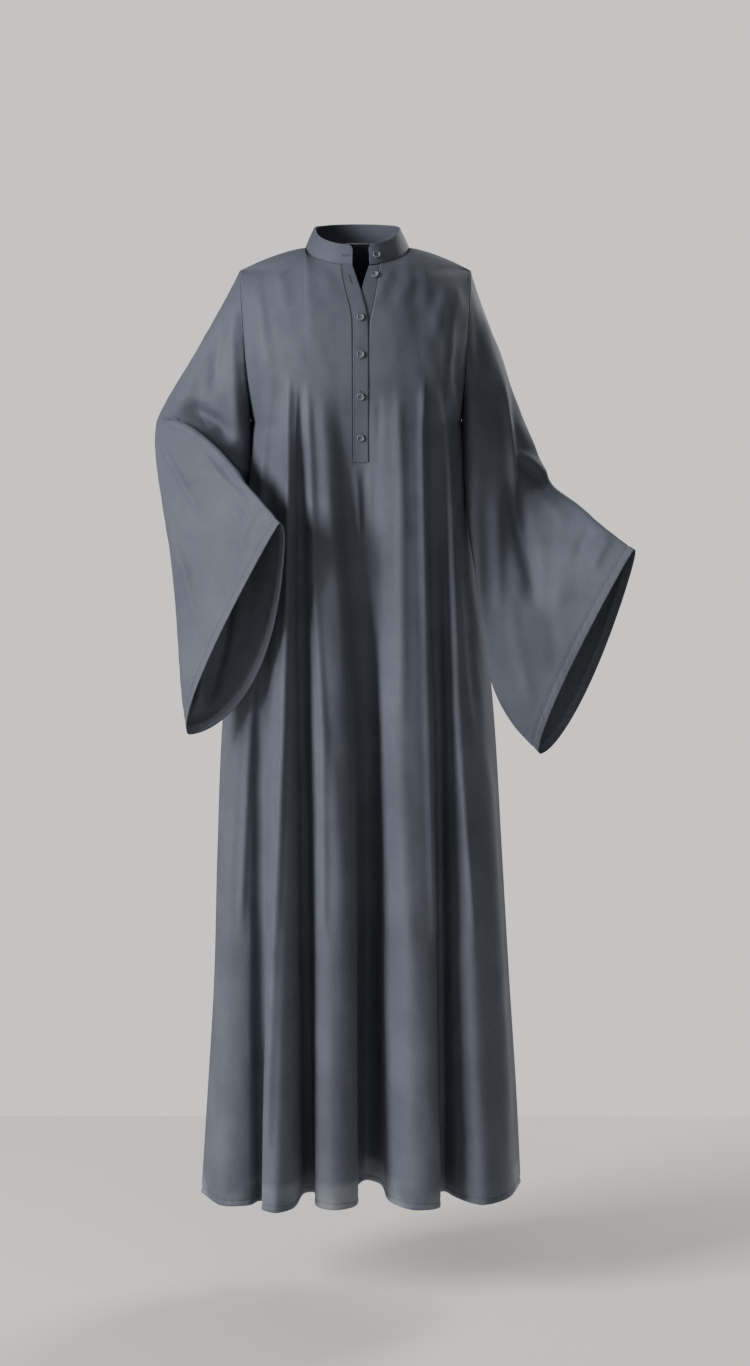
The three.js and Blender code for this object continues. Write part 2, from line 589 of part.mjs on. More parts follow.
bodyPanel("front_panel", front, -1, FRONT_STEPS);
bodyPanel("back_panel", back, 1, BACK_STEPS);
sleeve("sleeve_right", "right", RIGHT_SLEEVE);
sleeve("sleeve_left", "left", LEFT_SLEEVE);
collarBand();
placketStrip(
  "placket_over",
  { edge: "slitRight", inset: SEAM_GAP },
  { edge: "overlap", inset: 0 },
  OVER_LIFT,
);
placketStrip(
  "placket_under",
  { edge: "inner", inset: 0 },
  { edge: "slitLeft", inset: -SEAM_GAP },
  UNDER_LIFT,
);
FASTENED_BUTTONS_Z.forEach((z, i) => chestButton(`button_${i + 1}`, BUTTON_X, z, OVER_LIFT));
chestButton("button_neck", NECK_BUTTON.x, NECK_BUTTON.z, UNDER_LIFT);
collarButton();

export default abaya;
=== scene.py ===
"""Dressed model of a grey-blue abaya in hollow worn form.

Lengths are written in millimetres and turned to metres where meshes are made. +Z is up, -Y is
the front and the wearer's right is at -X. The cloth pieces are thin shells on the same cut
surfaces as the solids, with their creases placed one by one, and the sewing lies on them.
"""
import json
import logging
import math
from dataclasses import dataclass
from enum import Enum
from typing import Any, Callable, Sequence

import bmesh
import bpy
import numpy as np
from mathutils import Matrix, Vector

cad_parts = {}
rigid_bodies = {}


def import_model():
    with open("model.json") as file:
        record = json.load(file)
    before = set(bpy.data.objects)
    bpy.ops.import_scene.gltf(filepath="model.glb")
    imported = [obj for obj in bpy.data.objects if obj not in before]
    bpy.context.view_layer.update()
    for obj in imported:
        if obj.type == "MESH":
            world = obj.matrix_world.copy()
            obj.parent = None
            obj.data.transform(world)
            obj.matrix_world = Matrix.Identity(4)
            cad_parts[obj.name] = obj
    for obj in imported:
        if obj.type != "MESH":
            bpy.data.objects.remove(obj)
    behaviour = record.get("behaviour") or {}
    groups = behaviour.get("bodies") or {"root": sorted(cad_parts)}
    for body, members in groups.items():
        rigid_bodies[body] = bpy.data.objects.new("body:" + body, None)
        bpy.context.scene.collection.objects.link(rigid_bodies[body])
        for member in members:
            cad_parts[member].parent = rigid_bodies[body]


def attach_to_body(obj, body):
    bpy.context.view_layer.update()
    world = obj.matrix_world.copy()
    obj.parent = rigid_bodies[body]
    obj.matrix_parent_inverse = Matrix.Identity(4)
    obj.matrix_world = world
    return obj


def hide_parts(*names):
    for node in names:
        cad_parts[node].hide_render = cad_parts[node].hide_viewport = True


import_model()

LOG = logging.getLogger("abaya")
MM = 0.001

BUST_Z = -190.0
UNDERARM_Z = -250.0
MID_Z = -715.0
HEM_Z = -1449.0
PLACKET_FOOT_Z = -306.0
SEAM_GAP = 0.3
ARMHOLE_GAP = 0.42
PLACKET_RELEASE = 74.0


class Facing(Enum):
    """Which way a panel or a crease looks."""

    FRONT = -1
    BACK = 1


class Side(Enum):
    """The wearer's side, with the direction of its arm along X."""

    RIGHT = -1
    LEFT = 1


# ------------------------------------------------------------------------------- small maths
def lerp(start: Any, end: Any, share: Any) -> Any:
    """Value at a share of the way from start to end."""
    return start + (end - start) * share


def smoothstep(value: Any, low: float, high: float) -> Any:
    """Soft step from 0 at low to 1 at high."""
    share = np.clip((value - low) / (high - low), 0.0, 1.0)
    return share * share * (3 - 2 * share)


def catmull(points: np.ndarray, places: np.ndarray) -> np.ndarray:
    """Centripetal curve through points, as the cutter's sections use it.

    Args:
        points: (n, 3) corner points.
        places: places along the curve, 0 at the first point and n - 1 at the last.

    Returns:
        One point for each place.
    """
    ext = np.vstack([2 * points[0] - points[1], points, 2 * points[-1] - points[-2]])
    k = np.clip(np.floor(places).astype(int), 0, len(points) - 2)
    t = (places - k)[..., None]
    p0, p1, p2, p3 = ext[k], ext[k + 1], ext[k + 2], ext[k + 3]
    gaps = [np.sqrt(np.linalg.norm(b - a, axis=-1))[..., None] for a, b in ((p0, p1), (p1, p2), (p2, p3))]
    d1 = np.maximum(gaps[1], 1e-4)
    d0 = np.where(gaps[0] < 1e-4, d1, gaps[0])
    d2 = np.where(gaps[2] < 1e-4, d1, gaps[2])
    m1 = ((p1 - p0) / d0 - (p2 - p0) / (d0 + d1) + (p2 - p1) / d1) * d1
    m2 = ((p2 - p1) / d1 - (p3 - p1) / (d1 + d2) + (p3 - p2) / d2) * d1
    return (
        p1
        + m1 * t
        + (-3 * p1 + 3 * p2 - 2 * m1 - m2) * t**2
        + (2 * p1 - 2 * p2 + m1 + m2) * t**3
    )


@dataclass(frozen=True)
class Table:
    """Named sizes by height, from the top row down."""

    columns: tuple[str, ...]
    rows: tuple[tuple[float, ...], ...]

    def column(self, key: str) -> np.ndarray:
        """One column of the table."""
        return np.array([row[self.columns.index(key)] for row in self.rows])

    def straight(self, key: str, z: Any) -> Any:
        """Value of a column at height z, on straight lines between the rows."""
        return np.interp(-np.asarray(z, float), -self.column("z"), self.column(key))

    def smooth(self, key: str, z: Any) -> Any:
        """Value of a column at height z, on a smooth curve through the rows."""
        heights, values = self.column("z"), self.column(key)
        last = len(heights) - 1
        slope = np.array(
            [
                (values[min(last, i + 1)] - values[max(0, i - 1)])
                / (heights[min(last, i + 1)] - heights[max(0, i - 1)])
                for i in range(last + 1)
            ]
        )
        z = np.asarray(z, float)
        k = np.clip(np.searchsorted(-heights, -z, side="right") - 1, 0, last - 1)
        span = heights[k + 1] - heights[k]
        s = np.clip((z - heights[k]) / span, 0.0, 1.0)
        later = 3 * s**2 - 2 * s**3
        bend = (s**3 - 2 * s**2 + s) * slope[k] + (s**3 - s**2) * slope[k + 1]
        return (1 - later) * values[k] + later * values[k + 1] + span * bend


# ------------------------------------------------------------------------------- the cut
@dataclass(frozen=True)
class BodyCut:
    """Sizes of the body: armholes, neckline, shoulder seams and the sections below them."""

    armhole_top: float = -30.0
    armhole_front: float = 55.0
    armhole_back: float = 60.0
    tip_y: float = 5.0
    tip_right: float = -175.5
    tip_left: float = 168.0
    low_right: float = -160.0
    low_left: float = 155.0
    neck_side: float = 77.0
    neck_offset: float = -1.0
    neck_front: float = 76.0
    neck_back: float = 56.0
    neck_z: float = 4.0
    neck_dip: float = 24.0
    neck_rise: float = 4.0
    leave_angle: float = 32.0
    armhole_reach: float = 45.0
    fold_growth: float = 0.9
    straight_drop: float = 0.25
    late_drop: float = 1.6
    # The body is this much wider beside the sleeves, from the first pair of depths to the second.
    side_ease: float = 2.6
    ease_start: tuple[float, float] = (250.0, 268.0)
    ease_end: tuple[float, float] = (500.0, 640.0)
    sections: Table = Table(
        ("z", "right", "left", "front", "back", "square", "right_y", "left_y"),
        (
            (-190, -164.2, 158.5, -130, 108, 2.6, 0, 0),
            (-250, -160, 155, -131, 112, 3.4, 0, 0),
            (-340, -168, 164, -128, 115, 3.2, 0, 0),
            (-420, -176, 174, -125, 118, 3.0, 0, 2),
            (-573, -192, 194, -120, 124, 2.8, -2, 4),
            (-715, -207, 208, -117, 130, 2.7, -4, 8),
            (-919, -216, 221, -115, 140, 2.6, -8, 14),
            (-1110, -222, 233, -114, 150, 2.6, -12, 20),
            (-1300, -234, 246, -113, 160, 2.6, -16, 27),
            (-1449, -244, 254, -112, 168, 2.6, -20, 32),
        ),
    )

    def armhole_x(self, side: Side, z: Any) -> Any:
        """Place of an armhole's edge along X at height z."""
        share = (z - self.armhole_top) / (UNDERARM_Z - self.armhole_top)
        tip, low = (self.tip_right, self.low_right) if side is Side.RIGHT else (self.tip_left, self.low_left)
        return lerp(tip, low, share)

    def armhole_y(self, z: Any, facing: Facing) -> Any:
        """Depth of an armhole's edge at height z."""
        middle = (self.armhole_top + UNDERARM_Z) / 2
        half = (self.armhole_top - UNDERARM_Z) / 2
        share = (z - self.armhole_top) / (UNDERARM_Z - self.armhole_top)
        bulge = np.sqrt(np.maximum(0.0, 1 - ((z - middle) / half) ** 2))
        depth = self.armhole_front if facing is Facing.FRONT else self.armhole_back
        return lerp(self.tip_y, 0.0, share) + facing.value * bulge * depth

    def neck_point(self, angle: Any) -> np.ndarray:
        """Point of the neckline: angle 0 is the front, a quarter turn the wearer's left."""
        angle = np.asarray(angle, float)
        ahead = np.cos(angle)
        depth = np.where(ahead >= 0, self.neck_front, self.neck_back)
        drop = np.where(ahead >= 0, self.neck_dip, self.neck_rise)
        x = self.neck_offset + self.neck_side * np.sin(angle)
        return np.stack([x, -depth * ahead, self.neck_z - drop * ahead], -1)

    def neck_angle(self, x: Any) -> Any:
        """Angle of the front neckline at x."""
        return np.arcsin(np.clip((x - self.neck_offset) / self.neck_side, -1, 1))

    def top_point(self, x: Any, facing: Facing) -> np.ndarray:
        """Top edge of a panel at x: neckline inside the neck points, shoulder seam outside."""
        x = np.asarray(x, float)
        angle = self.neck_angle(x)
        neck = self.neck_point(angle if facing is Facing.FRONT else math.pi - angle)
        start = self.neck_offset + np.sign(x) * self.neck_side
        tip = np.where(x < 0, self.tip_right, self.tip_left)
        share = np.clip((x - start) / (tip - start), 0, 1)
        droop = self.straight_drop * share + (1 - self.straight_drop) * share**self.late_drop
        seam = np.stack([x, lerp(0.0, self.tip_y, share), lerp(self.neck_z, self.armhole_top, droop)], -1)
        on_neck = np.abs(x - self.neck_offset) <= self.neck_side
        return np.where(on_neck[..., None], neck, seam)

    def side_x(self, side: Side, z: float) -> float:
        """Half-width of the body on one side at height z."""
        if z > UNDERARM_Z:
            return float(self.armhole_x(side, z))
        beside_sleeve = smoothstep(-z, *self.ease_start) * (1 - smoothstep(-z, *self.ease_end))
        plain = self.sections.smooth(side.name.lower(), z)
        return float(plain + side.value * self.side_ease * beside_sleeve)

    def side_y(self, side: Side, z: float, facing: Facing) -> float:
        """Depth of the side seam or armhole edge at height z."""
        if z > UNDERARM_Z:
            return float(self.armhole_y(z, facing))
        return float(self.sections.smooth(f"{side.name.lower()}_y", z))

    def base_y(self, x: Any, z: float, facing: Facing) -> np.ndarray:
        """Depth of the unfolded section at x and height z."""
        x = np.asarray(x, float)
        reach = np.where(x < 0, x / self.side_x(Side.RIGHT, z), x / self.side_x(Side.LEFT, z))
        edge = np.where(x < 0, self.side_y(Side.RIGHT, z, facing), self.side_y(Side.LEFT, z, facing))
        middle = self.sections.smooth("front" if facing is Facing.FRONT else "back", z)
        square = self.sections.smooth("square", z)
        return edge + (middle - edge) * np.sqrt(1 - np.clip(np.abs(reach), 0, 1) ** square)


CUT = BodyCut()

# A fold line: name, x at the top edge, at the bust, at mid-height and at the hem, y at the hem.
Fold = tuple[str, float, float, float, float, float]
FRONT_FOLDS: tuple[Fold, ...] = (
    ("side_right", -175.5, -164.2, -207, -244, -20),
    ("crest_a", -152, -140, -182, -206, -88),
    ("shelf_a", -140, -130, -160, -166, -84),
    ("valley_ab", -130, -121, -148, -153, -64),
    ("floor_ab", -121, -114, -138, -142, -66),
    ("edge_b", -112, -106, -126, -148, -104),
    ("crest_b", -103, -97, -111, -126, -124),
    ("flank_b", -94, -89, -97, -100, -104),
    ("valley_bc", -88, -84, -87, -82, -24),
    ("floor_bc", -83, -79, -78, -70, -20),
    ("edge_c", -78, -73, -60, -63, -92),
    ("crest_c", -70, -60, -44, -38, -109),
    ("flank_c", -58, -45, -16, -5, -90),
    ("hollow", -42, -27, -2, -1, 14),
    ("placket_right", -24, -7, 12, 12, 42),
    ("placket_left", 33, 16.5, 27, 32, 24),
    ("flank_d", 50, 36, 42, 48, -66),
    ("crest_d", 66, 60, 68, 86, -110),
    ("edge_d", 76, 97, 105, 123, -100),
    ("valley_de", 92, 106, 116, 124, -22),
    ("floor_de", 102, 113, 124, 133, -16),
    ("flank_e", 114, 122, 136, 152, -48),
    ("crest_e", 128, 130, 156, 190, -83),
    ("shelf_e", 148, 145, 186, 230, -52),
    ("side_left", 168, 158.5, 208, 254, 32),
)

BACK_FOLDS: tuple[Fold, ...] = (
    ("side_left", 168, 158.5, 208, 254, 32),
    ("crest_f", 148, 140, 184, 222, 116),
    ("valley_fg", 128, 120, 154, 182, 90),
    ("edge_g", 108, 100, 130, 154, 156),
    ("crest_g", 90, 80, 102, 120, 170),
    ("valley_gh", 76, 56, 70, 78, 114),
    ("edge_h", 54, 36, 42, 48, 176),
    ("crest_h", 22, 14, 14, 12, 182),
    ("valley_hi", -12, -14, -22, -27, 120),
    ("edge_i", -46, -40, -54, -62, 170),
    ("crest_i", -78, -64, -82, -95, 174),
    ("valley_ij", -98, -90, -112, -130, 102),
    ("crest_j", -120, -112, -142, -166, 142),
    ("valley_jk", -140, -130, -166, -194, 88),
    ("crest_k", -158, -148, -188, -222, 86),
    ("side_right", -175.5, -164.2, -207, -244, -20),
)

PLACKET = Table(
    ("z", "slit_right", "overlap", "inner", "slit_left"),
    (
        (-18, -24, -8, 17, 33),
        (-35, -22, -2, 11, 30.5),
        (-55, -17, 5, 5.5, 27.5),
        (-75, -11, 10.5, 1, 23.5),
        (-95, -7.5, 15, -1, 18.5),
        (-120, -7, 16, -2, 16.5),
        (PLACKET_FOOT_Z, -7, 16, -2, 16.5),
    ),
)

# Heights of the placket's buttonholes, from the undone one at the neck down.
BUTTONHOLE_HEIGHTS = (-40.0, -94.0, -147.0, -208.0, -269.0)

# Kinks that the neck's ends leave in the yoke are evened out above the first of these heights,
# less and less below it, and not at all below the second.
YOKE_SOFT_START = -110.0
YOKE_SOFT_END = -150.0

# Sleeve sections: top point, low point, front bulge, back bulge, turn and sag.
SleeveRow = tuple[tuple[float, float, float], tuple[float, float, float], float, float, float, float]
RIGHT_SLEEVE: tuple[SleeveRow, ...] = (
    ((-208, 3, -92), (-163, -10, -302), 52, 50, 15, -0.25),
    ((-246, 0, -160), (-169, -18, -356), 52, 44, 27, -0.2),
    ((-276, -5, -212), (-206, -33, -404), 52, 40, 44, -0.1),
    ((-291, -14, -246), (-238, -50, -470), 66, 36, 58, 0),
    ((-264, -48, -257), (-248, -68, -540), 62, 30, 72, 0.1),
    ((-224, -84, -279), (-252, -84, -604), 54, 26, 90, 0.25),
    ((-172, -134, -328), (-254, -98, -664), 58, 23, 105, 0.4),
    ((-112, -205, -386), (-250, -110, -713), 62, 21, 114, 0.5),
)
LEFT_SLEEVE: tuple[SleeveRow, ...] = (
    ((188, 4, -92), (159, -12, -290), 50, 50, 12, -0.25),
    ((210, 4, -157), (163, -34, -345), 48, 46, 22, -0.2),
    ((234, 4, -224), (169.5, -50, -420), 46, 44, 28, -0.1),
    ((261, 3, -287), (182, -56, -490), 44, 42, 34, 0),
    ((289, 0, -346), (193, -60, -570), 40, 40, 40, 0.1),
    ((330, -38, -378), (205, -62, -645), 34, 40, 45, 0.2),
    ((367, -80, -407), (232, -60, -702), 28, 38, 48, 0.3),
    ((408, -120, -434), (275, -60, -751), 20, 36, 49, 0.4),
)


# ------------------------------------------------------------------------------- creases
# Y of the outward direction at which a layer starts to take a crease, and takes all of it.
LAYER_TURN = (-0.05, 0.35)


@dataclass(frozen=True)
class Crease:
    """One soft ridge or trough, placed as given.

    path is seen square to the front or back, in (x, z). height is how far it stands out of the
    cloth, or in where negative, and width is how far from its line it has sunk by two thirds.
    """

    path: tuple[tuple[float, float], ...]
    width: float
    height: float
    facing: Facing = Facing.FRONT
    fade: float = 0.3

    def lift(self, x: np.ndarray, z: np.ndarray, out_y: np.ndarray) -> np.ndarray:
        """How far the crease moves cloth at (x, z).

        Args:
            x: places across.
            z: heights.
            out_y: Y of the cloth's outward direction there, which picks the layer that shows.

        Returns:
            Distances along the outward direction.
        """
        nodes = np.array(self.path, float)
        lengths = np.linalg.norm(np.diff(nodes, axis=0), axis=1)
        total = lengths.sum()
        best = np.full(x.shape, 1e9)
        along = np.zeros(x.shape)
        done = 0.0
        for start, end, length in zip(nodes[:-1], nodes[1:], lengths):
            run = (end - start) / length
            t = np.clip(((x - start[0]) * run[0] + (z - start[1]) * run[1]), 0, length)
            gap = np.hypot(x - start[0] - run[0] * t, z - start[1] - run[1] * t)
            along = np.where(gap < best, (done + t) / total, along)
            best = np.minimum(best, gap)
            done += length
        ends = smoothstep(along, 0.0, self.fade) * smoothstep(1 - along, 0.0, self.fade)
        shows = smoothstep(self.facing.value * out_y, *LAYER_TURN)
        return self.height * np.exp(-((best / self.width) ** 2)) * ends * shows


FRONT_CREASES: tuple[Crease, ...] = (
    # Drag lines that fall from the shoulder seams and the neck
    Crease(((-152, -30), (-141, -82), (-133, -147), (-128, -210)), 9, 2.8, fade=0.35),
    Crease(((-142, -42), (-132, -92), (-124, -140)), 8, -1.8),
    Crease(((-121, -14), (-109, -56), (-104, -92)), 9, 2.0),
    Crease(((-81, -4), (-76, -50), (-74, -84)), 9, 1.8),
    Crease(((-41, -17), (-20, -55)), 8, -1.4),
    Crease(((-58, -12), (-44, -40), (-32, -76)), 9, 1.6),
    Crease(((78, -6), (80, -34), (68, -74)), 9, 2.0),
    Crease(((52, -16), (38, -42), (24, -72)), 9, 2.0),
    Crease(((64, -14), (54, -44), (40, -84)), 9, -1.6),
    Crease(((100, -8), (98, -52), (94, -92)), 10, 1.6),
    Crease(((135, -40), (119, -89), (112, -130)), 9, 2.2),
    Crease(((150, -40), (143, -100), (142, -170)), 9, 2.2),
    Crease(((-160, -80), (-157, -222), (-156, -250)), 9, -6.0),
    Crease(((152, -70), (148, -160), (148, -230)), 9, -6.0),
    # Where the folds of the skirt break away under the bust
    Crease(((-135, -230), (-147, -480), (-163, -717), (-179, -1049)), 6, 4.4, fade=0.12),
    Crease(((-121, -168), (-130, -216), (-138, -300)), 7, 2.2, fade=0.2),
    Crease(((-99, -170), (-103, -450), (-111, -711), (-125, -1041), (-137, -1375)), 5, 6.0, fade=0.05),
    Crease(((-84, -205), (-86, -513), (-88, -825)), 9, -3.0, fade=0.15),
    Crease(((-74, -184), (-67, -331), (-64, -450), (-50, -711), (-50, -1042)), 5.5, 5.4, fade=0.08),
    Crease(((-52, -190), (-44, -330), (-34, -520)), 8, 2.2, fade=0.2),
    Crease(((-26, -214), (-16, -360), (-9, -514)), 10, -1.0, fade=0.2),
    Crease(((31, -200), (27, -332)), 7, -2.2, fade=0.25),
    Crease(((58, -186), (64, -331), (66, -711)), 8, 3.6, fade=0.1),
    Crease(((97, -178), (94, -267), (104, -713), (115, -1047)), 4.5, 5.0, fade=0.06),
    Crease(((106, -200), (108, -420), (118, -700)), 8, -3.4, fade=0.15),
    Crease(((122, -180), (135, -335), (151, -716), (177, -1048)), 6, 5.0, fade=0.08),
    Crease(((150, -300), (168, -560), (186, -760)), 9, -3.4, fade=0.2),
    # The released pleat under the placket
    Crease(((-4, -308), (0, -363), (3, -430)), 5, 2.9, fade=0.25),
    Crease(((8, -309), (9, -372), (10, -440)), 4, -2.9, fade=0.3),
    Crease(((20, -308), (19, -363), (22, -420)), 5, 2.6, fade=0.25),
    # Low, broad waves of the skirt
    Crease(((-60, -620), (-30, -880), (-22, -1120)), 16, 4.2, fade=0.3),
    Crease(((48, -560), (66, -860), (90, -1200)), 14, 3.8, fade=0.3),
    Crease(((-190, -760), (-206, -1060), (-218, -1330)), 12, 3.8, fade=0.3),
    Crease(((196, -720), (218, -1060), (236, -1400)), 12, 3.8, fade=0.2),
)

BACK_CREASES: tuple[Crease, ...] = (
    Crease(((-140, -34), (-128, -96), (-122, -168)), 8, 3.8, Facing.BACK),
    Crease(((138, -34), (128, -92), (120, -176)), 8, 4.2, Facing.BACK),
    Crease(((-60, -6), (-54, -60), (-50, -120)), 9, 3.2, Facing.BACK),
    Crease(((60, -6), (50, -58), (44, -126)), 9, 3.2, Facing.BACK),
    Crease(((-155, -90), (-150, -170), (-152, -240)), 8, -3.8, Facing.BACK),
    Crease(((150, -90), (146, -170), (148, -240)), 8, -3.8, Facing.BACK),
    Crease(((-64, -150), (-74, -420), (-90, -900)), 9, 5.1, Facing.BACK, 0.1),
    Crease(((-14, -160), (-18, -420), (-24, -800)), 9, -5.4, Facing.BACK, 0.15),
    Crease(((36, -150), (40, -430), (46, -900)), 8, 5.1, Facing.BACK, 0.1),
    Crease(((80, -170), (92, -460), (112, -980)), 8, 4.8, Facing.BACK, 0.1),
    Crease(((-112, -180), (-132, -540), (-156, -1040)), 8, 4.8, Facing.BACK, 0.1),
    Crease(((14, -420), (12, -820), (12, -1300)), 14, 4.2, Facing.BACK),
    Crease(((140, -260), (170, -620), (206, -1180)), 9, 4.2, Facing.BACK),
)

RIGHT_SLEEVE_CREASES: tuple[Crease, ...] = (
    # Shoulder to crook of the arm
    Crease(((-182, -50), (-184, -130), (-182, -219), (-178, -290)), 8, 5.0),
    Crease(((-204, -84), (-214, -150), (-218, -224)), 11, -10.0),
    Crease(((-232, -140), (-249, -192), (-262, -236)), 9, 3.0),
    Crease(((-228, -150), (-236, -200), (-240, -232)), 9, -1.5),
    # The crook: a deep pocket over the fold that the forearm lifts
    Crease(((-272, -232), (-244, -236), (-214, -252), (-184, -284)), 13, -17.0, fade=0.3),
    Crease(
        ((-292, -250), (-258, -256), (-231, -270), (-211, -286), (-186, -312), (-160, -338)),
        9,
        7.0,
        fade=0.15,
    ),
    Crease(((-246, -268), (-220, -284), (-200, -306), (-180, -332)), 8, -3.0),
    # Long drag lines of the hanging sleeve
    Crease(((-301, -262), (-287, -296), (-261, -336), (-239, -371), (-216, -401)), 5, 5.4, fade=0.25),
    Crease(((-284, -380), (-271, -430), (-255, -472), (-242, -518), (-226, -574)), 6, 5.0, fade=0.3),
    Crease(((-262, -400), (-246, -450), (-232, -500)), 10, -2.6),
    Crease(((-232, -290), (-206, -322), (-178, -346), (-156, -366)), 7, 3.4, fade=0.25),
    Crease(((-206, -300), (-182, -330), (-160, -346)), 8, -1.8),
    # Around the wrist
    Crease(((-139, -359), (-155, -384), (-165, -405), (-172, -442)), 5, 4.8, fade=0.25),
    Crease(((-186, -352), (-170, -366), (-152, -372)), 6, 3.2),
    Crease(((-196, -368), (-176, -384), (-164, -392)), 6, -3.0),
    Crease(((-176, -400), (-190, -470), (-206, -540)), 12, -2.6),
    # Behind
    Crease(((-200, -80), (-222, -170), (-246, -260)), 9, 4.0, Facing.BACK),
    Crease(((-184, -110), (-196, -200), (-214, -300)), 10, -4.6, Facing.BACK),
    Crease(((-276, -270), (-262, -360), (-250, -480)), 9, 4.0, Facing.BACK),
    Crease(((-238, -300), (-240, -420), (-246, -560)), 10, -3.6, Facing.BACK),
    Crease(((-206, -500), (-226, -600), (-244, -690)), 9, -10.0, Facing.BACK, 0.2),
    Crease(((-184, -480), (-202, -590), (-226, -680)), 9, 7.0, Facing.BACK, 0.2),
)

LEFT_SLEEVE_CREASES: tuple[Crease, ...] = (
    Crease(((184, -60), (196, -130), (212, -190), (222, -241)), 10, 2.4),
    Crease(((176, -90), (180, -170), (184, -240)), 11, -3.2),
    # The edge that falls from the elbow and the dark valley beside it
    Crease(
        ((214, -180), (222, -241), (226, -269), (230, -310), (236, -362), (244, -412), (254, -457)),
        6,
        5.6,
        fade=0.2,
    ),
    Crease(((232, -330), (238, -372), (246, -420), (256, -470), (266, -540)), 12, -11.0, fade=0.25),
    # The elbow's arch
    Crease(((226, -302), (247, -306), (270, -322), (292, -346)), 8, 3.8, fade=0.25),
    Crease(((230, -318), (250, -324), (272, -342), (290, -362)), 8, -3.6, fade=0.25),
    Crease(((236, -250), (250, -276), (262, -300)), 9, 1.6),
    Crease(((262, -352), (290, -380), (316, -410)), 10, 1.6),
    # The wrist
    Crease(((376, -415), (362, -438), (348, -468)), 6, 4.0, fade=0.25),
    Crease(((350, -404), (336, -424), (322, -452)), 7, -2.8),
    Crease(((316, -420), (304, -480), (290, -560)), 12, 1.8),
    # Long falls below the forearm
    Crease(((204, -330), (208, -440), (214, -560)), 10, 3.2),
    Crease(((190, -320), (192, -430), (200, -560)), 11, -2.6),
    Crease(((226, -500), (240, -590), (262, -680)), 11, 2.2),
    Crease(((280, -460), (288, -560), (300, -640)), 12, -2.0),
    # Behind
    Crease(((196, -90), (218, -200), (244, -310)), 9, 4.0, Facing.BACK),
    Crease(((182, -140), (196, -260), (210, -380)), 10, -4.2, Facing.BACK),
    Crease(((262, -300), (270, -420), (276, -560)), 9, 4.2, Facing.BACK),
    Crease(((320, -390), (322, -500), (312, -620)), 9, 3.2, Facing.BACK),
)


# ------------------------------------------------------------------------------- cloth grids
RIPPLE_WAVES = 9


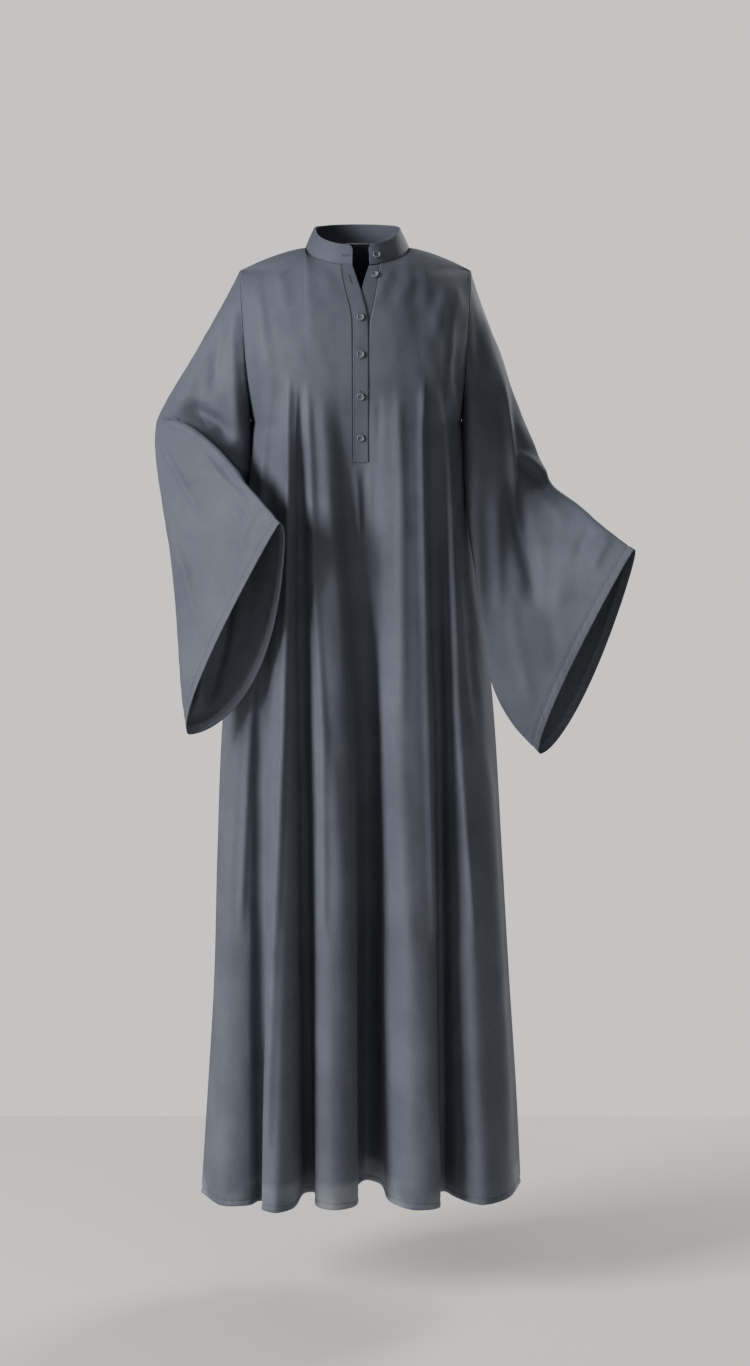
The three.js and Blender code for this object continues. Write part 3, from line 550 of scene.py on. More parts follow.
@dataclass
class Cloth:
    """A grid of cloth: rows run down and columns to the right, seen from outside."""

    points: np.ndarray
    wraps: bool = False
    keep: Callable[[int, int], bool] = lambda i, j: True

    def outward(self) -> np.ndarray:
        """Unit direction out of the cloth at each grid point."""
        p = self.points
        down = np.gradient(p, axis=0)
        if self.wraps:
            across = np.roll(p, -1, 1) - np.roll(p, 1, 1)
        else:
            across = np.gradient(p, axis=1)
        out = np.cross(down, across)
        return out / np.maximum(np.linalg.norm(out, axis=-1, keepdims=True), 1e-9)

    def push(self, distance: np.ndarray | float) -> None:
        """Moves the cloth outwards by a distance, or by one for each point."""
        self.points = self.points + self.outward() * np.asarray(distance)[..., None]

    def crease(self, creases: Sequence[Crease], hold: np.ndarray) -> None:
        """Presses the creases into the cloth.

        Args:
            creases: the ridges and troughs.
            hold: grid of shares, 0 where a seam holds the cloth still and 1 where it is free.
        """
        out_y = self.outward()[..., 1]
        x, z = self.points[..., 0], self.points[..., 2]
        self.push(sum(c.lift(x, z, out_y) for c in creases) * hold)

    def ripple(self, height: float, length: float, seed: int, hold: np.ndarray | float = 1.0) -> None:
        """Adds the slight unevenness of hanging cloth.

        Args:
            height: how far the ripples stand out.
            length: their usual length.
            seed: fixes their places.
            hold: grid of shares as in crease, or one share for all of the cloth.
        """
        rng = np.random.default_rng(seed)
        total = np.zeros(self.points.shape[:2])
        for _ in range(RIPPLE_WAVES):
            # Ripples run down the cloth more than across it
            way = rng.normal(size=3) * (1.0, 1.0, 0.28)
            way *= 2 * math.pi / (length * rng.uniform(0.7, 1.6)) / np.linalg.norm(way)
            total += np.sin(self.points @ way + rng.uniform(0, 2 * math.pi))
        self.push(total / math.sqrt(RIPPLE_WAVES) * height * hold)

    def soften(self, hold: np.ndarray, rounds: int) -> None:
        """Evens out kinks from column to column.

        Args:
            hold: share by which each point may move.
            rounds: how often each point goes half-way to the middle of its neighbours.
        """
        for _ in range(rounds):
            middle = (self.points[:, :-2] + self.points[:, 2:]) / 2
            self.points[:, 1:-1] += (middle - self.points[:, 1:-1]) * hold[:, 1:-1, None] / 2

    def furrow(self, rows: np.ndarray, at: float, depth: float, width: float) -> None:
        """Presses a stitched line into the cloth, parallel to its lower edge.

        Args:
            rows: distance of each grid point from the lower edge.
            at: distance of the line from that edge.
            depth: how deep the thread pulls it in.
            width: half-width of the furrow.
        """
        self.push(-depth * np.exp(-(((rows - at) / width) ** 2)))

    def closed(self) -> np.ndarray:
        """The grid, with the first column again at the end of a tube."""
        return np.concatenate([self.points, self.points[:, :1]], 1) if self.wraps else self.points

    def area(self) -> float:
        """Area of the outer face, in square metres."""
        p = self.closed()
        a, b, c, d = p[:-1, :-1], p[1:, :-1], p[1:, 1:], p[:-1, 1:]
        halves = (np.linalg.norm(np.cross(v, c - a), axis=-1) for v in (b - a, d - a))
        return float(sum(halves).sum() / 2 * MM * MM)

    def uv(self) -> tuple[np.ndarray, np.ndarray]:
        """Distances across and up from the lower edge, in metres, with the closing column."""
        p = self.closed()
        across = np.concatenate(
            [np.zeros((len(p), 1)), np.cumsum(np.linalg.norm(np.diff(p, axis=1), axis=-1), 1)], 1
        )
        steps = np.linalg.norm(np.diff(p, axis=0), axis=-1)
        up = np.concatenate([np.cumsum(steps[::-1], 0)[::-1], np.zeros((1, p.shape[1]))], 0)
        return across * MM, up * MM

    def build(self, name: str, thickness: float, material: bpy.types.Material) -> bpy.types.Object:
        """Makes the piece, a shell of the given thickness inside its outer face.

        Args:
            name: name of the piece.
            thickness: thickness in mm.
            material: its cloth.

        Returns:
            The new object.
        """
        rows, cols = self.points.shape[:2]
        cells = cols if self.wraps else cols - 1
        faces, corners = [], []
        for i in range(rows - 1):
            for j in range(cells):
                if self.keep(i, j):
                    k = (j + 1) % cols
                    faces.append((i * cols + j, (i + 1) * cols + j, (i + 1) * cols + k, i * cols + k))
                    corners += [(i, j), (i + 1, j), (i + 1, j + 1), (i, j + 1)]
        piece = new_mesh(name, self.points.reshape(-1, 3), faces, material)
        across, up = self.uv()
        index = np.array(corners)
        flat = np.stack([across[index[:, 0], index[:, 1]], up[index[:, 0], index[:, 1]]], -1)
        piece.data.uv_layers.new(name="Cloth").data.foreach_set("uv", flat.astype(np.float32).ravel())
        drop_loose(piece)
        shell = piece.modifiers.new("Shell", "SOLIDIFY")
        shell.thickness = thickness * MM
        shell.offset = -1
        return piece


def new_mesh(
    name: str,
    points: np.ndarray,
    faces: Sequence[Sequence[int]],
    material: bpy.types.Material,
) -> bpy.types.Object:
    """Adds a smooth mesh to the scene.

    Args:
        name: name of the object.
        points: corners in mm.
        faces: corner numbers of each face.
        material: its finish.

    Returns:
        The new object.
    """
    mesh = bpy.data.meshes.new(name)
    mesh.from_pydata([tuple(p) for p in np.asarray(points, float) * MM], [], [tuple(f) for f in faces])
    mesh.polygons.foreach_set("use_smooth", [True] * len(mesh.polygons))
    mesh.materials.append(material)
    mesh.update()
    piece = bpy.data.objects.new(name, mesh)
    bpy.context.collection.objects.link(piece)
    return piece


def drop_loose(piece: bpy.types.Object) -> None:
    """Removes grid points that no face uses."""
    work = bmesh.new()
    work.from_mesh(piece.data)
    bmesh.ops.delete(work, geom=[v for v in work.verts if not v.link_faces], context="VERTS")
    work.to_mesh(piece.data)
    work.free()


# ------------------------------------------------------------------------------- finishes
def linear(code: str) -> tuple[float, float, float, float]:
    """Linear colour of an sRGB hex code such as "5b616b"."""
    shares = [int(code[i : i + 2], 16) / 255 for i in (0, 2, 4)]
    return (*[s / 12.92 if s <= 0.04045 else ((s + 0.055) / 1.055) ** 2.4 for s in shares], 1.0)


Tree = bpy.types.NodeTree
Socket = bpy.types.NodeSocket


def feed(tree: Tree, node: bpy.types.Node, **inputs: Any) -> None:
    """Sets the inputs of a node.

    Args:
        tree: the node tree.
        node: the node.
        **inputs: values, or output sockets of other nodes, with _ for a space in a name and
            a name such as i0 for an input by number.
    """
    for key, value in inputs.items():
        by_number = key[0] == "i" and key[1:].isdigit()
        socket = node.inputs[int(key[1:])] if by_number else node.inputs[key.replace("_", " ")]
        if isinstance(value, Socket):
            tree.links.new(value, socket)
        else:
            socket.default_value = value


def add_node(tree: Tree, kind: str, settings: dict[str, Any] | None = None, **inputs: Any) -> bpy.types.Node:
    """Adds a node.

    Args:
        tree: the node tree.
        kind: the node's type.
        settings: attributes of the node.
        **inputs: its inputs, as feed takes them.

    Returns:
        The new node.
    """
    node = tree.nodes.new(kind)
    for key, value in (settings or {}).items():
        setattr(node, key, value)
    feed(tree, node, **inputs)
    return node


def object_place(tree: Tree) -> Socket:
    """Place on the object, in metres."""
    return add_node(tree, "ShaderNodeTexCoord").outputs["Object"]


def stretched(tree: Tree, place: Socket, across: float, down: float) -> Socket:
    """Place on the cloth, with a scale across it and another down it."""
    return add_node(tree, "ShaderNodeMapping", Vector=place, Scale=(across, down, 1.0)).outputs["Vector"]


def noise(tree: Tree, place: Socket, scale: float, **more: float) -> Socket:
    """Clouds of values from 0 to 1."""
    return add_node(tree, "ShaderNodeTexNoise", Vector=place, Scale=scale, **more).outputs["Fac"]


def multiply(tree: Tree, first: Socket, second: Socket | float) -> Socket:
    """Product of two values."""
    return add_node(tree, "ShaderNodeMath", {"operation": "MULTIPLY"}, i0=first, i1=second).outputs[0]


def mix_colours(tree: Tree, share: Socket, first: Any, second: Any) -> Socket:
    """Colour that goes from the first to the second as the share goes from 0 to 1."""
    return add_node(tree, "ShaderNodeMix", {"data_type": "RGBA"}, i0=share, i6=first, i7=second).outputs[2]


def bump(tree: Tree, height: Socket, strength: float, depth: float, **normal: Socket) -> Socket:
    """Surface direction bent by a relief with its depth in mm."""
    return add_node(
        tree, "ShaderNodeBump", Height=height, Strength=strength, Distance=depth * MM, **normal
    ).outputs[0]


def remap(
    tree: Tree,
    value: Socket,
    start: tuple[float, float] = (0.0, 1.0),
    end: tuple[float, float] = (0.0, 1.0),
    curve: str = "LINEAR",
) -> Socket:
    """Takes a value from one range to another.

    Args:
        tree: the node tree.
        value: the value.
        start: the range that it comes from.
        end: the range that it goes to.
        curve: "LINEAR", or "SMOOTHSTEP" for soft ends.

    Returns:
        The new value.
    """
    return add_node(
        tree,
        "ShaderNodeMapRange",
        {"interpolation_type": curve},
        Value=value,
        From_Min=start[0],
        From_Max=start[1],
        To_Min=end[0],
        To_Max=end[1],
    ).outputs["Result"]


def new_finish(name: str) -> tuple[bpy.types.Material, Tree, bpy.types.Node]:
    """Adds an empty material and returns it with its tree and shader."""
    material = bpy.data.materials.new(name)
    material.use_nodes = True
    tree = material.node_tree
    return material, tree, tree.nodes["Principled BSDF"]


@dataclass(frozen=True)
class Crepe:
    """Woven polyester crepe, piece-dyed: matte, with a faint bloom and a pebbled grain."""

    name: str = "polyester_crepe"
    shade: str = "4f535d"
    light: str = "5d616c"
    # Painted light: colour of the lighter patches where light shows through the cloth just above the hem
    painted_backlight: str = "8b9096"
    grain: float = 1.6
    thread: float = 1.1
    hem: float = 9.0
    # How much of that painted light is laid on above the hem; none unless asked
    painted_backlight_share: float = 0.0

    def build(self) -> bpy.types.Material:
        """Builds the material."""
        material, tree, shader = new_finish(self.name)
        place = object_place(tree)
        cloth = add_node(tree, "ShaderNodeUVMap", {"uv_map": "Cloth"}).outputs["UV"]
        up = add_node(tree, "ShaderNodeSeparateXYZ", Vector=cloth).outputs["Y"]
        grain = noise(tree, place, 1000.0 / self.grain, Detail=3.0, Roughness=0.6)
        feed(
            tree,
            shader,
            Base_Color=self._colour(tree, place, cloth, up),
            Normal=self._relief(tree, grain, cloth, up),
            Roughness=remap(tree, grain, end=(0.64, 0.78)),
            IOR=1.45,
            Specular_IOR_Level=0.32,
            Sheen_Weight=0.1,
            Sheen_Roughness=0.35,
        )
        return material

    def _colour(self, tree: Tree, place: Socket, cloth: Socket, up: Socket) -> Socket:
        """Colour of the dyed cloth, with painted light in lighter patches just above the hem, where light
        shows through the single layer, as much as the share for it says.
        """
        # Slight unevenness of the dye over a hand's breadth
        dye = noise(tree, place, 9.0, Detail=4.0, Roughness=0.55)
        # Slubs: short flecks of lighter yarn, 2 mm wide and drawn out down the cloth
        slub = noise(tree, stretched(tree, cloth, 500.0, 90.0), 1.0, Detail=2.0)
        both = add_node(tree, "ShaderNodeMath", {"operation": "MULTIPLY_ADD"}, i0=slub, i1=0.35, i2=dye)
        tone = remap(tree, both.outputs[0], (0.5, 0.9))
        colour = mix_colours(tree, tone, linear(self.shade), linear(self.light))
        if self.painted_backlight_share:
            # Painted light: the single layer just above the turned hem lets some light through, drawn as
            # lighter patches in the colour
            low = remap(tree, up, (0.048, 0.03), curve="SMOOTHSTEP")
            spots = remap(tree, noise(tree, place, 9.0, Detail=1.0), (0.46, 0.6))
            share = multiply(tree, multiply(tree, low, spots), self.painted_backlight_share)
            colour = mix_colours(tree, share, colour, linear(self.painted_backlight))
        return colour

    def _relief(self, tree: Tree, grain: Socket, cloth: Socket, up: Socket) -> Socket:
        """Puckers along the stitched hem, the pebbled grain, and the yarns across and down."""
        # Real yarns lie 0.3 mm apart; they are drawn coarser, so that they show at this size.
        yarns = [
            add_node(
                tree,
                "ShaderNodeTexWave",
                {"wave_type": "BANDS", "bands_direction": way, "wave_profile": "SIN"},
                Vector=cloth,
                Scale=1000.0 / self.thread / (2 * math.pi) * 2,
                Distortion=0.6,
                Detail=1.0,
            ).outputs["Fac"]
            for way in ("X", "Y")
        ]
        pucker = noise(tree, stretched(tree, cloth, 95.0, 22.0), 1.0, Detail=1.5)
        near = remap(tree, up, (self.hem * 2.2 * MM, self.hem * 0.7 * MM), curve="SMOOTHSTEP")
        relief = bump(tree, multiply(tree, pucker, near), 0.5, 4.0)
        relief = bump(tree, grain, 0.22, 0.6, Normal=relief)
        return bump(tree, multiply(tree, *yarns), 0.16, 0.4, Normal=relief)


@dataclass(frozen=True)
class SewingThread:
    """Spun polyester sewing thread: a little darker than the cloth, with a slanting twist whose plies carry
    painted highlights.
    """

    name: str = "sewing_thread"
    colour: str = "34383f"
    twist: float = 0.5
    # Painted highlight: how much lighter the plies are drawn where light would catch the twist
    painted_ply_highlight: float = 1.35

    def build(self) -> bpy.types.Material:
        """Builds the material."""
        material, tree, shader = new_finish(self.name)
        twist = add_node(
            tree,
            "ShaderNodeTexWave",
            {"bands_direction": "DIAGONAL"},
            Vector=object_place(tree),
            Scale=1000.0 / self.twist / (2 * math.pi),
        ).outputs["Fac"]
        # Painted highlight: the twist's bands mix the thread colour with a lighter copy of it
        dark = linear(self.colour)
        light = tuple(min(1.0, c * self.painted_ply_highlight) for c in dark)
        feed(
            tree,
            shader,
            Base_Color=mix_colours(tree, twist, dark, light),
            Normal=bump(tree, twist, 0.3, 0.2),
            Roughness=0.6,
        )
        return material


@dataclass(frozen=True)
class CastResin:
    """Cast polyester resin, tumbled: a soft gloss with faint cloudy streaks."""

    name: str = "cast_resin"
    shade: str = "5a5e66"
    light: str = "70747c"

    def build(self) -> bpy.types.Material:
        """Builds the material."""
        material, tree, shader = new_finish(self.name)
        cloud = noise(tree, object_place(tree), 260.0, Detail=3.0, Distortion=0.8)
        feed(
            tree,
            shader,
            Base_Color=mix_colours(tree, cloud, linear(self.shade), linear(self.light)),
            Roughness=remap(tree, cloud, end=(0.36, 0.5)),
            IOR=1.55,
        )
        return material


@dataclass(frozen=True)
class StudioPaint:
    """Matte emulsion of a studio floor, a little uneven in tone."""

    name: str
    colour: str
    scale: float = 3.0
    darkest: float = 0.97

    def build(self) -> bpy.types.Material:
        """Builds the material."""
        material, tree, shader = new_finish(self.name)
        cloud = noise(tree, object_place(tree), self.scale)
        base = linear(self.colour)
        dark = tuple(c * self.darkest for c in base)
        feed(tree, shader, Base_Color=mix_colours(tree, cloud, dark, base), Roughness=0.9)
        return material


# ------------------------------------------------------------------------------- sewing
def tube_faces(rings: int, sides: int, first: int = 0) -> list[tuple[int, ...]]:
    """Faces of a tube.

    Args:
        rings: how many rings of points it has.
        sides: how many points each ring has.
        first: number of its first point.

    Returns:
        Four corner numbers for each face.
    """
    faces = []
    for ring in range(rings - 1):
        a = first + ring * sides
        for s in range(sides):
            n = (s + 1) % sides
            faces.append((a + s, a + n, a + sides + n, a + sides + s))
    return faces


@dataclass
class Topstitch:
    """A row of lockstitches along a path on the cloth."""

    name: str
    stitch: float = 3.0
    gap: float = 0.9
    radius: float = 0.28
    sides: int = 5
    # Rings of a stitch: share of its length, share of its radius and rise above the cloth.
    profile: tuple[tuple[float, float, float], ...] = (
        (0.0, 0.35, -0.25),
        (0.22, 1.0, 0.12),
        (0.78, 1.0, 0.12),
        (1.0, 0.35, -0.25),
    )

    def build(
        self,
        paths: Sequence[tuple[np.ndarray, np.ndarray]],
        material: bpy.types.Material,
    ) -> bpy.types.Object:
        """Lays the stitches.

        Args:
            paths: pairs of points and outward directions, in mm.
            material: the thread.

        Returns:
            One object with all the stitches of the row.
        """
        points, faces = [], []
        pitch = self.stitch + self.gap
        for path, out in paths:
            lengths = np.concatenate([[0.0], np.cumsum(np.linalg.norm(np.diff(path, axis=0), axis=1))])
            for k in range(int(lengths[-1] // pitch)):
                faces += tube_faces(len(self.profile), self.sides, len(points))
                points += self._rings(path, out, lengths, k * pitch)
        return new_mesh(self.name, np.array(points), faces, material)

    def _rings(
        self, path: np.ndarray, out: np.ndarray, lengths: np.ndarray, start: float
    ) -> list[np.ndarray]:
        """Points of one stitch, a short thread that dips into the cloth at both ends."""

        def here(values: np.ndarray, at: float) -> np.ndarray:
            """Point or direction at a distance along the path."""
            return np.array([np.interp(at, lengths, values[:, axis]) for axis in range(3)])

        points = []
        for share, thick, rise in self.profile:
            at = start + share * self.stitch
            ahead = here(path, at + 0.5) - here(path, at - 0.5)
            up = here(out, at)
            up /= np.linalg.norm(up)
            ahead /= max(np.linalg.norm(ahead), 1e-9)
            side = np.cross(ahead, up)
            centre = here(path, at) + up * rise
            for s in range(self.sides):
                turn = 2 * math.pi * s / self.sides
                points.append(centre + (side * math.cos(turn) + up * math.sin(turn)) * self.radius * thick)
        return points


def round_folds(piece: bpy.types.Object, width: float) -> None:
    """Rounds the folded edges of a stiffened piece over a width in mm."""
    soft = piece.modifiers.new("Fold", "BEVEL")
    soft.width = width * MM
    soft.segments = 2
    soft.limit_method = "ANGLE"


def attach(piece: bpy.types.Object, *nodes: str, slot: str | None = None) -> bpy.types.Object:
    """Lets a piece ride on the garment, and stand for solids where they are named.

    Args:
        piece: the new piece.
        *nodes: names of the solids that it replaces.
        slot: not used.

    Returns:
        The piece.
    """
    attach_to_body(piece, "root")
    if nodes:
        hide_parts(*nodes)
    LOG.info("%s: %d faces", piece.name, len(piece.data.polygons))
    return piece


# ------------------------------------------------------------------------------- pieces
@dataclass
class Wardrobe:
    """The finishes that the pieces share."""

    crepe: bpy.types.Material
    skirt_crepe: bpy.types.Material
    strip: bpy.types.Material
    thread: bpy.types.Material
    resin: bpy.types.Material

    @classmethod
    def build(cls) -> "Wardrobe":
        """Builds all the finishes."""
        return cls(
            crepe=Crepe(hem=13.0).build(),
            # The skirt's crepe carries painted light: lighter patches just above the hem where light shows
            # through
            skirt_crepe=Crepe(name="polyester_crepe_skirt", painted_backlight_share=0.5).build(),
            strip=Crepe(name="interfaced_crepe", shade="4d515b", light="595d68", hem=1.0).build(),
            thread=SewingThread().build(),
            resin=CastResin().build(),
        )


@dataclass
class BodyPanel:
    """The front or back of the body, from the neck and shoulders to the turned hem.

    The even rows stop at even_end above the hem. The side seams and the slit still the cloth
    beside them over seam_hold and slit_hold, in fold lines, and the top edge over top_hold.
    """

    name: str
    facing: Facing
    folds: tuple[Fold, ...]
    creases: tuple[Crease, ...]
    steps: int
    seed: int
    yoke_rows: int = 40
    fall_rows: int = 138
    hem: float = 9.0
    thickness: float = 1.2
    even_end: float = 26.0
    seam_hold: float = 0.8
    slit_hold: float = 0.9
    top_hold: float = 22.0

    def line(self, name: str) -> int:
        """Number of a fold line."""
        return [fold[0] for fold in self.folds].index(name)

    def _fold_points(self, z: float) -> np.ndarray:
        """Points of all fold lines at height z."""
        _, _, bust, mid, hem, hem_y = (np.array(c) for c in zip(*self.folds))
        bust, mid, hem, hem_y = (c.astype(float) for c in (bust, mid, hem, hem_y))
        x = np.empty(len(self.folds))
        for k, fold in enumerate(self.folds):
            places = Table(("z", "x"), ((BUST_Z, fold[2]), (MID_Z, fold[3]), (HEM_Z, fold[4])))
            x[k] = places.smooth("x", z)
            if fold[0].startswith("placket_"):
                x[k] = lerp(fold[2], x[k], smoothstep(-z, -PLACKET_FOOT_Z, -PLACKET_FOOT_Z + PLACKET_RELEASE))
            if fold[0].startswith("side_"):
                x[k] = CUT.side_x(Side[fold[0][5:].upper()], z)
        sides = np.array([fold[0].startswith("side_") for fold in self.folds])
        grown = np.clip((BUST_Z - z) / (BUST_Z - HEM_Z), 0, 1) ** CUT.fold_growth
        depth = np.where(sides, 0.0, hem_y - CUT.base_y(hem, HEM_Z, self.facing))
        y = CUT.base_y(x, z, self.facing) + grown * depth
        return np.stack([x, y, np.full(len(x), z)], -1)

    def section(self, z: float, places: np.ndarray) -> np.ndarray:
        """Points of the section at height z, at or below the bust."""
        return catmull(self._fold_points(z), places)

    def tops(self, places: np.ndarray) -> np.ndarray:
        """Points of the top edge."""
        top = np.array([fold[1] for fold in self.folds], float)
        k = np.clip(np.floor(places).astype(int), 0, len(top) - 2)
        start, end, share = top[k], top[k + 1], places - k
        on_neck = np.maximum(np.abs(start - CUT.neck_offset), np.abs(end - CUT.neck_offset)) <= CUT.neck_side
        angle = lerp(CUT.neck_angle(start), CUT.neck_angle(end), share)
        turned = CUT.neck_offset + CUT.neck_side * np.sin(angle)
        return CUT.top_point(np.where(on_neck, turned, lerp(start, end, share)), self.facing)

    def yoke(self, tops: np.ndarray, foot: np.ndarray, z: np.ndarray) -> np.ndarray:
        """Points between the top edge and the bust, one for each column."""
        opening = math.radians(CUT.leave_angle) * (1 - np.clip(np.abs(tops[:, 0]) / CUT.neck_side, 0, 1) ** 2)
        share = np.clip((tops[:, 2] - z) / (tops[:, 2] - BUST_Z), 0, 1)
        turn = np.arccos(np.cos(opening) * (1 - share))
        out = (np.sin(turn) - np.sin(opening)) / (1 - np.sin(opening))
        x = lerp(tops[:, 0], foot[:, 0], share)
        y = lerp(tops[:, 1], foot[:, 1], out)
        for side in Side:
            away = np.abs(x - CUT.armhole_x(side, z)) / CUT.armhole_reach
            plain = lerp(CUT.tip_y, CUT.armhole_y(BUST_Z, self.facing), np.sin(np.arccos(1 - share)))
            y = y + (CUT.armhole_y(z, self.facing) - plain) * np.exp(-away * away)
        return np.stack([x, y, z], -1)

    def surface(self, places: np.ndarray, heights: np.ndarray) -> np.ndarray:
        """Plain surface of the panel.

        Args:
            places: places across, in fold lines.
            heights: heights of the rows that fall from the bust.

        Returns:
            Grid of points with the rows of the yoke first.
        """
        tops, foot = self.tops(places), self.section(BUST_Z, places)
        rows = []
        for i in range(self.yoke_rows + 1):
            drop = 1 - math.cos(math.pi / 2 * i / self.yoke_rows)
            rows.append(self.yoke(tops, foot, lerp(tops[:, 2], BUST_Z, drop)))
        rows += [self.section(float(z), places) for z in heights]
        return np.array(rows)

    def _bend_to_slit(self, points: np.ndarray, places: np.ndarray) -> int:
        """Moves the cloth beside the slit so that its edges meet the placket.

        Args:
            points: grid of the panel, which is changed.
            places: places across, in fold lines.

        Returns:
            Number of the row that is put on the foot of the slit.
        """
        foot_row = int(np.argmax(points[:, 0, 2] < PLACKET_FOOT_Z + 0.01))
        points[foot_row] = self.section(PLACKET_FOOT_Z, places)
        right, left = self.line("placket_right"), self.line("placket_left")
        for i in range(len(points)):
            z = points[i, :, 2]
            if z[right * self.steps] < PLACKET_FOOT_Z - 1:
                continue
            for line, key, inside in ((right, "slit_right", -1), (left, "slit_left", 1)):
                column = line * self.steps
                shift = float(PLACKET.straight(key, z[column])) - points[i, column, 0]
                near = np.clip(1 - np.maximum(0, (places - line) * inside), 0, 1)
                near = np.where((places - line) * inside < 0, 0, near)
                points[i, :, 0] += shift * near
        return foot_row

    def build(self, wardrobe: Wardrobe) -> None:
        """Builds the panel with its hem stitches.

        Args:
            wardrobe: the finishes.
        """
        last = len(self.folds) - 1
        places = np.arange(last * self.steps + 1) / self.steps
        near_hem = [22.0, 18.0, 15.0, 12.5, 10.8, self.hem, 7.2, 5.0, 2.5, 0.0]
        even = np.linspace(BUST_Z, HEM_Z + self.even_end, self.fall_rows)[1:]
        points = self.surface(places, np.concatenate([even, HEM_Z + np.array(near_hem)]))
        foot_row = self._bend_to_slit(points, places) if self.facing is Facing.FRONT else 0
        seam = self.facing.value * SEAM_GAP / 2
        points[:, (0, -1), 1] += seam
        on_shoulder = np.abs(points[0, :, 0] - CUT.neck_offset) > CUT.neck_side - 0.01
        points[0, on_shoulder, 1] += seam
        cloth = Cloth(points)
        if foot_row:
            right, left = (self.line(f"placket_{side}") * self.steps for side in ("right", "left"))
            cloth.keep = lambda i, j: not (i < foot_row and right <= j < left)
        hold = self._hold(points, places)
        cloth.crease(self.creases, hold)
        cloth.soften(hold * smoothstep(points[..., 2], YOKE_SOFT_END, YOKE_SOFT_START), rounds=24)
        cloth.ripple(height=0.5, length=120.0, seed=self.seed, hold=hold)
        cloth.ripple(height=0.22, length=26.0, seed=self.seed + 1, hold=hold)
        cloth.furrow(points[..., 2] - HEM_Z, at=self.hem, depth=1.3, width=2.6)
        piece = cloth.build(f"{self.name}_cloth", self.thickness, wardrobe.skirt_crepe)
        attach(piece, self.name, slot="cloth")
        row = near_hem.index(self.hem) - len(near_hem)
        thread = Topstitch(f"{self.name}_hem_stitches", radius=0.42).build(
            [(cloth.points[row], cloth.outward()[row])], wardrobe.thread
        )
        attach(thread)
        self.flat()
        self.flat_area()
        LOG.info("%s: cloth %.3f m2, cut %.3f m2", self.name, cloth.area(), self.flat_area())

    def flat(self) -> tuple[float, float]:
        """Width and length of the cut, in metres: the hem is its widest line."""
        return (1.2, 1.5) if self.facing is Facing.FRONT else (0.95, 1.47)

    def flat_area(self) -> float:
        """Area of the flared cut, in square metres."""
        return 1.05 if self.facing is Facing.FRONT else 0.98

    def _hold(self, points: np.ndarray, places: np.ndarray) -> np.ndarray:
        """Shares by which creases may move the cloth: none on its seams and the placket."""
        last = len(self.folds) - 1
        from_side = np.minimum(places, last - places)
        hold = np.ones(points.shape[:2]) * smoothstep(from_side, 0.0, self.seam_hold)[None, :]
        hold *= smoothstep(points[0, :, 2][None, :] - points[..., 2], 0.0, self.top_hold)
        if self.facing is Facing.FRONT:
            right, left = self.line("placket_right"), self.line("placket_left")
            off = np.maximum(right - places, places - left)
            by_slit = smoothstep(off, 0.0, self.slit_hold)[None, :]
            above = smoothstep(points[..., 2], PLACKET_FOOT_Z - 14, PLACKET_FOOT_Z - 1)
            hold *= lerp(1.0, by_slit, above)
        return hold


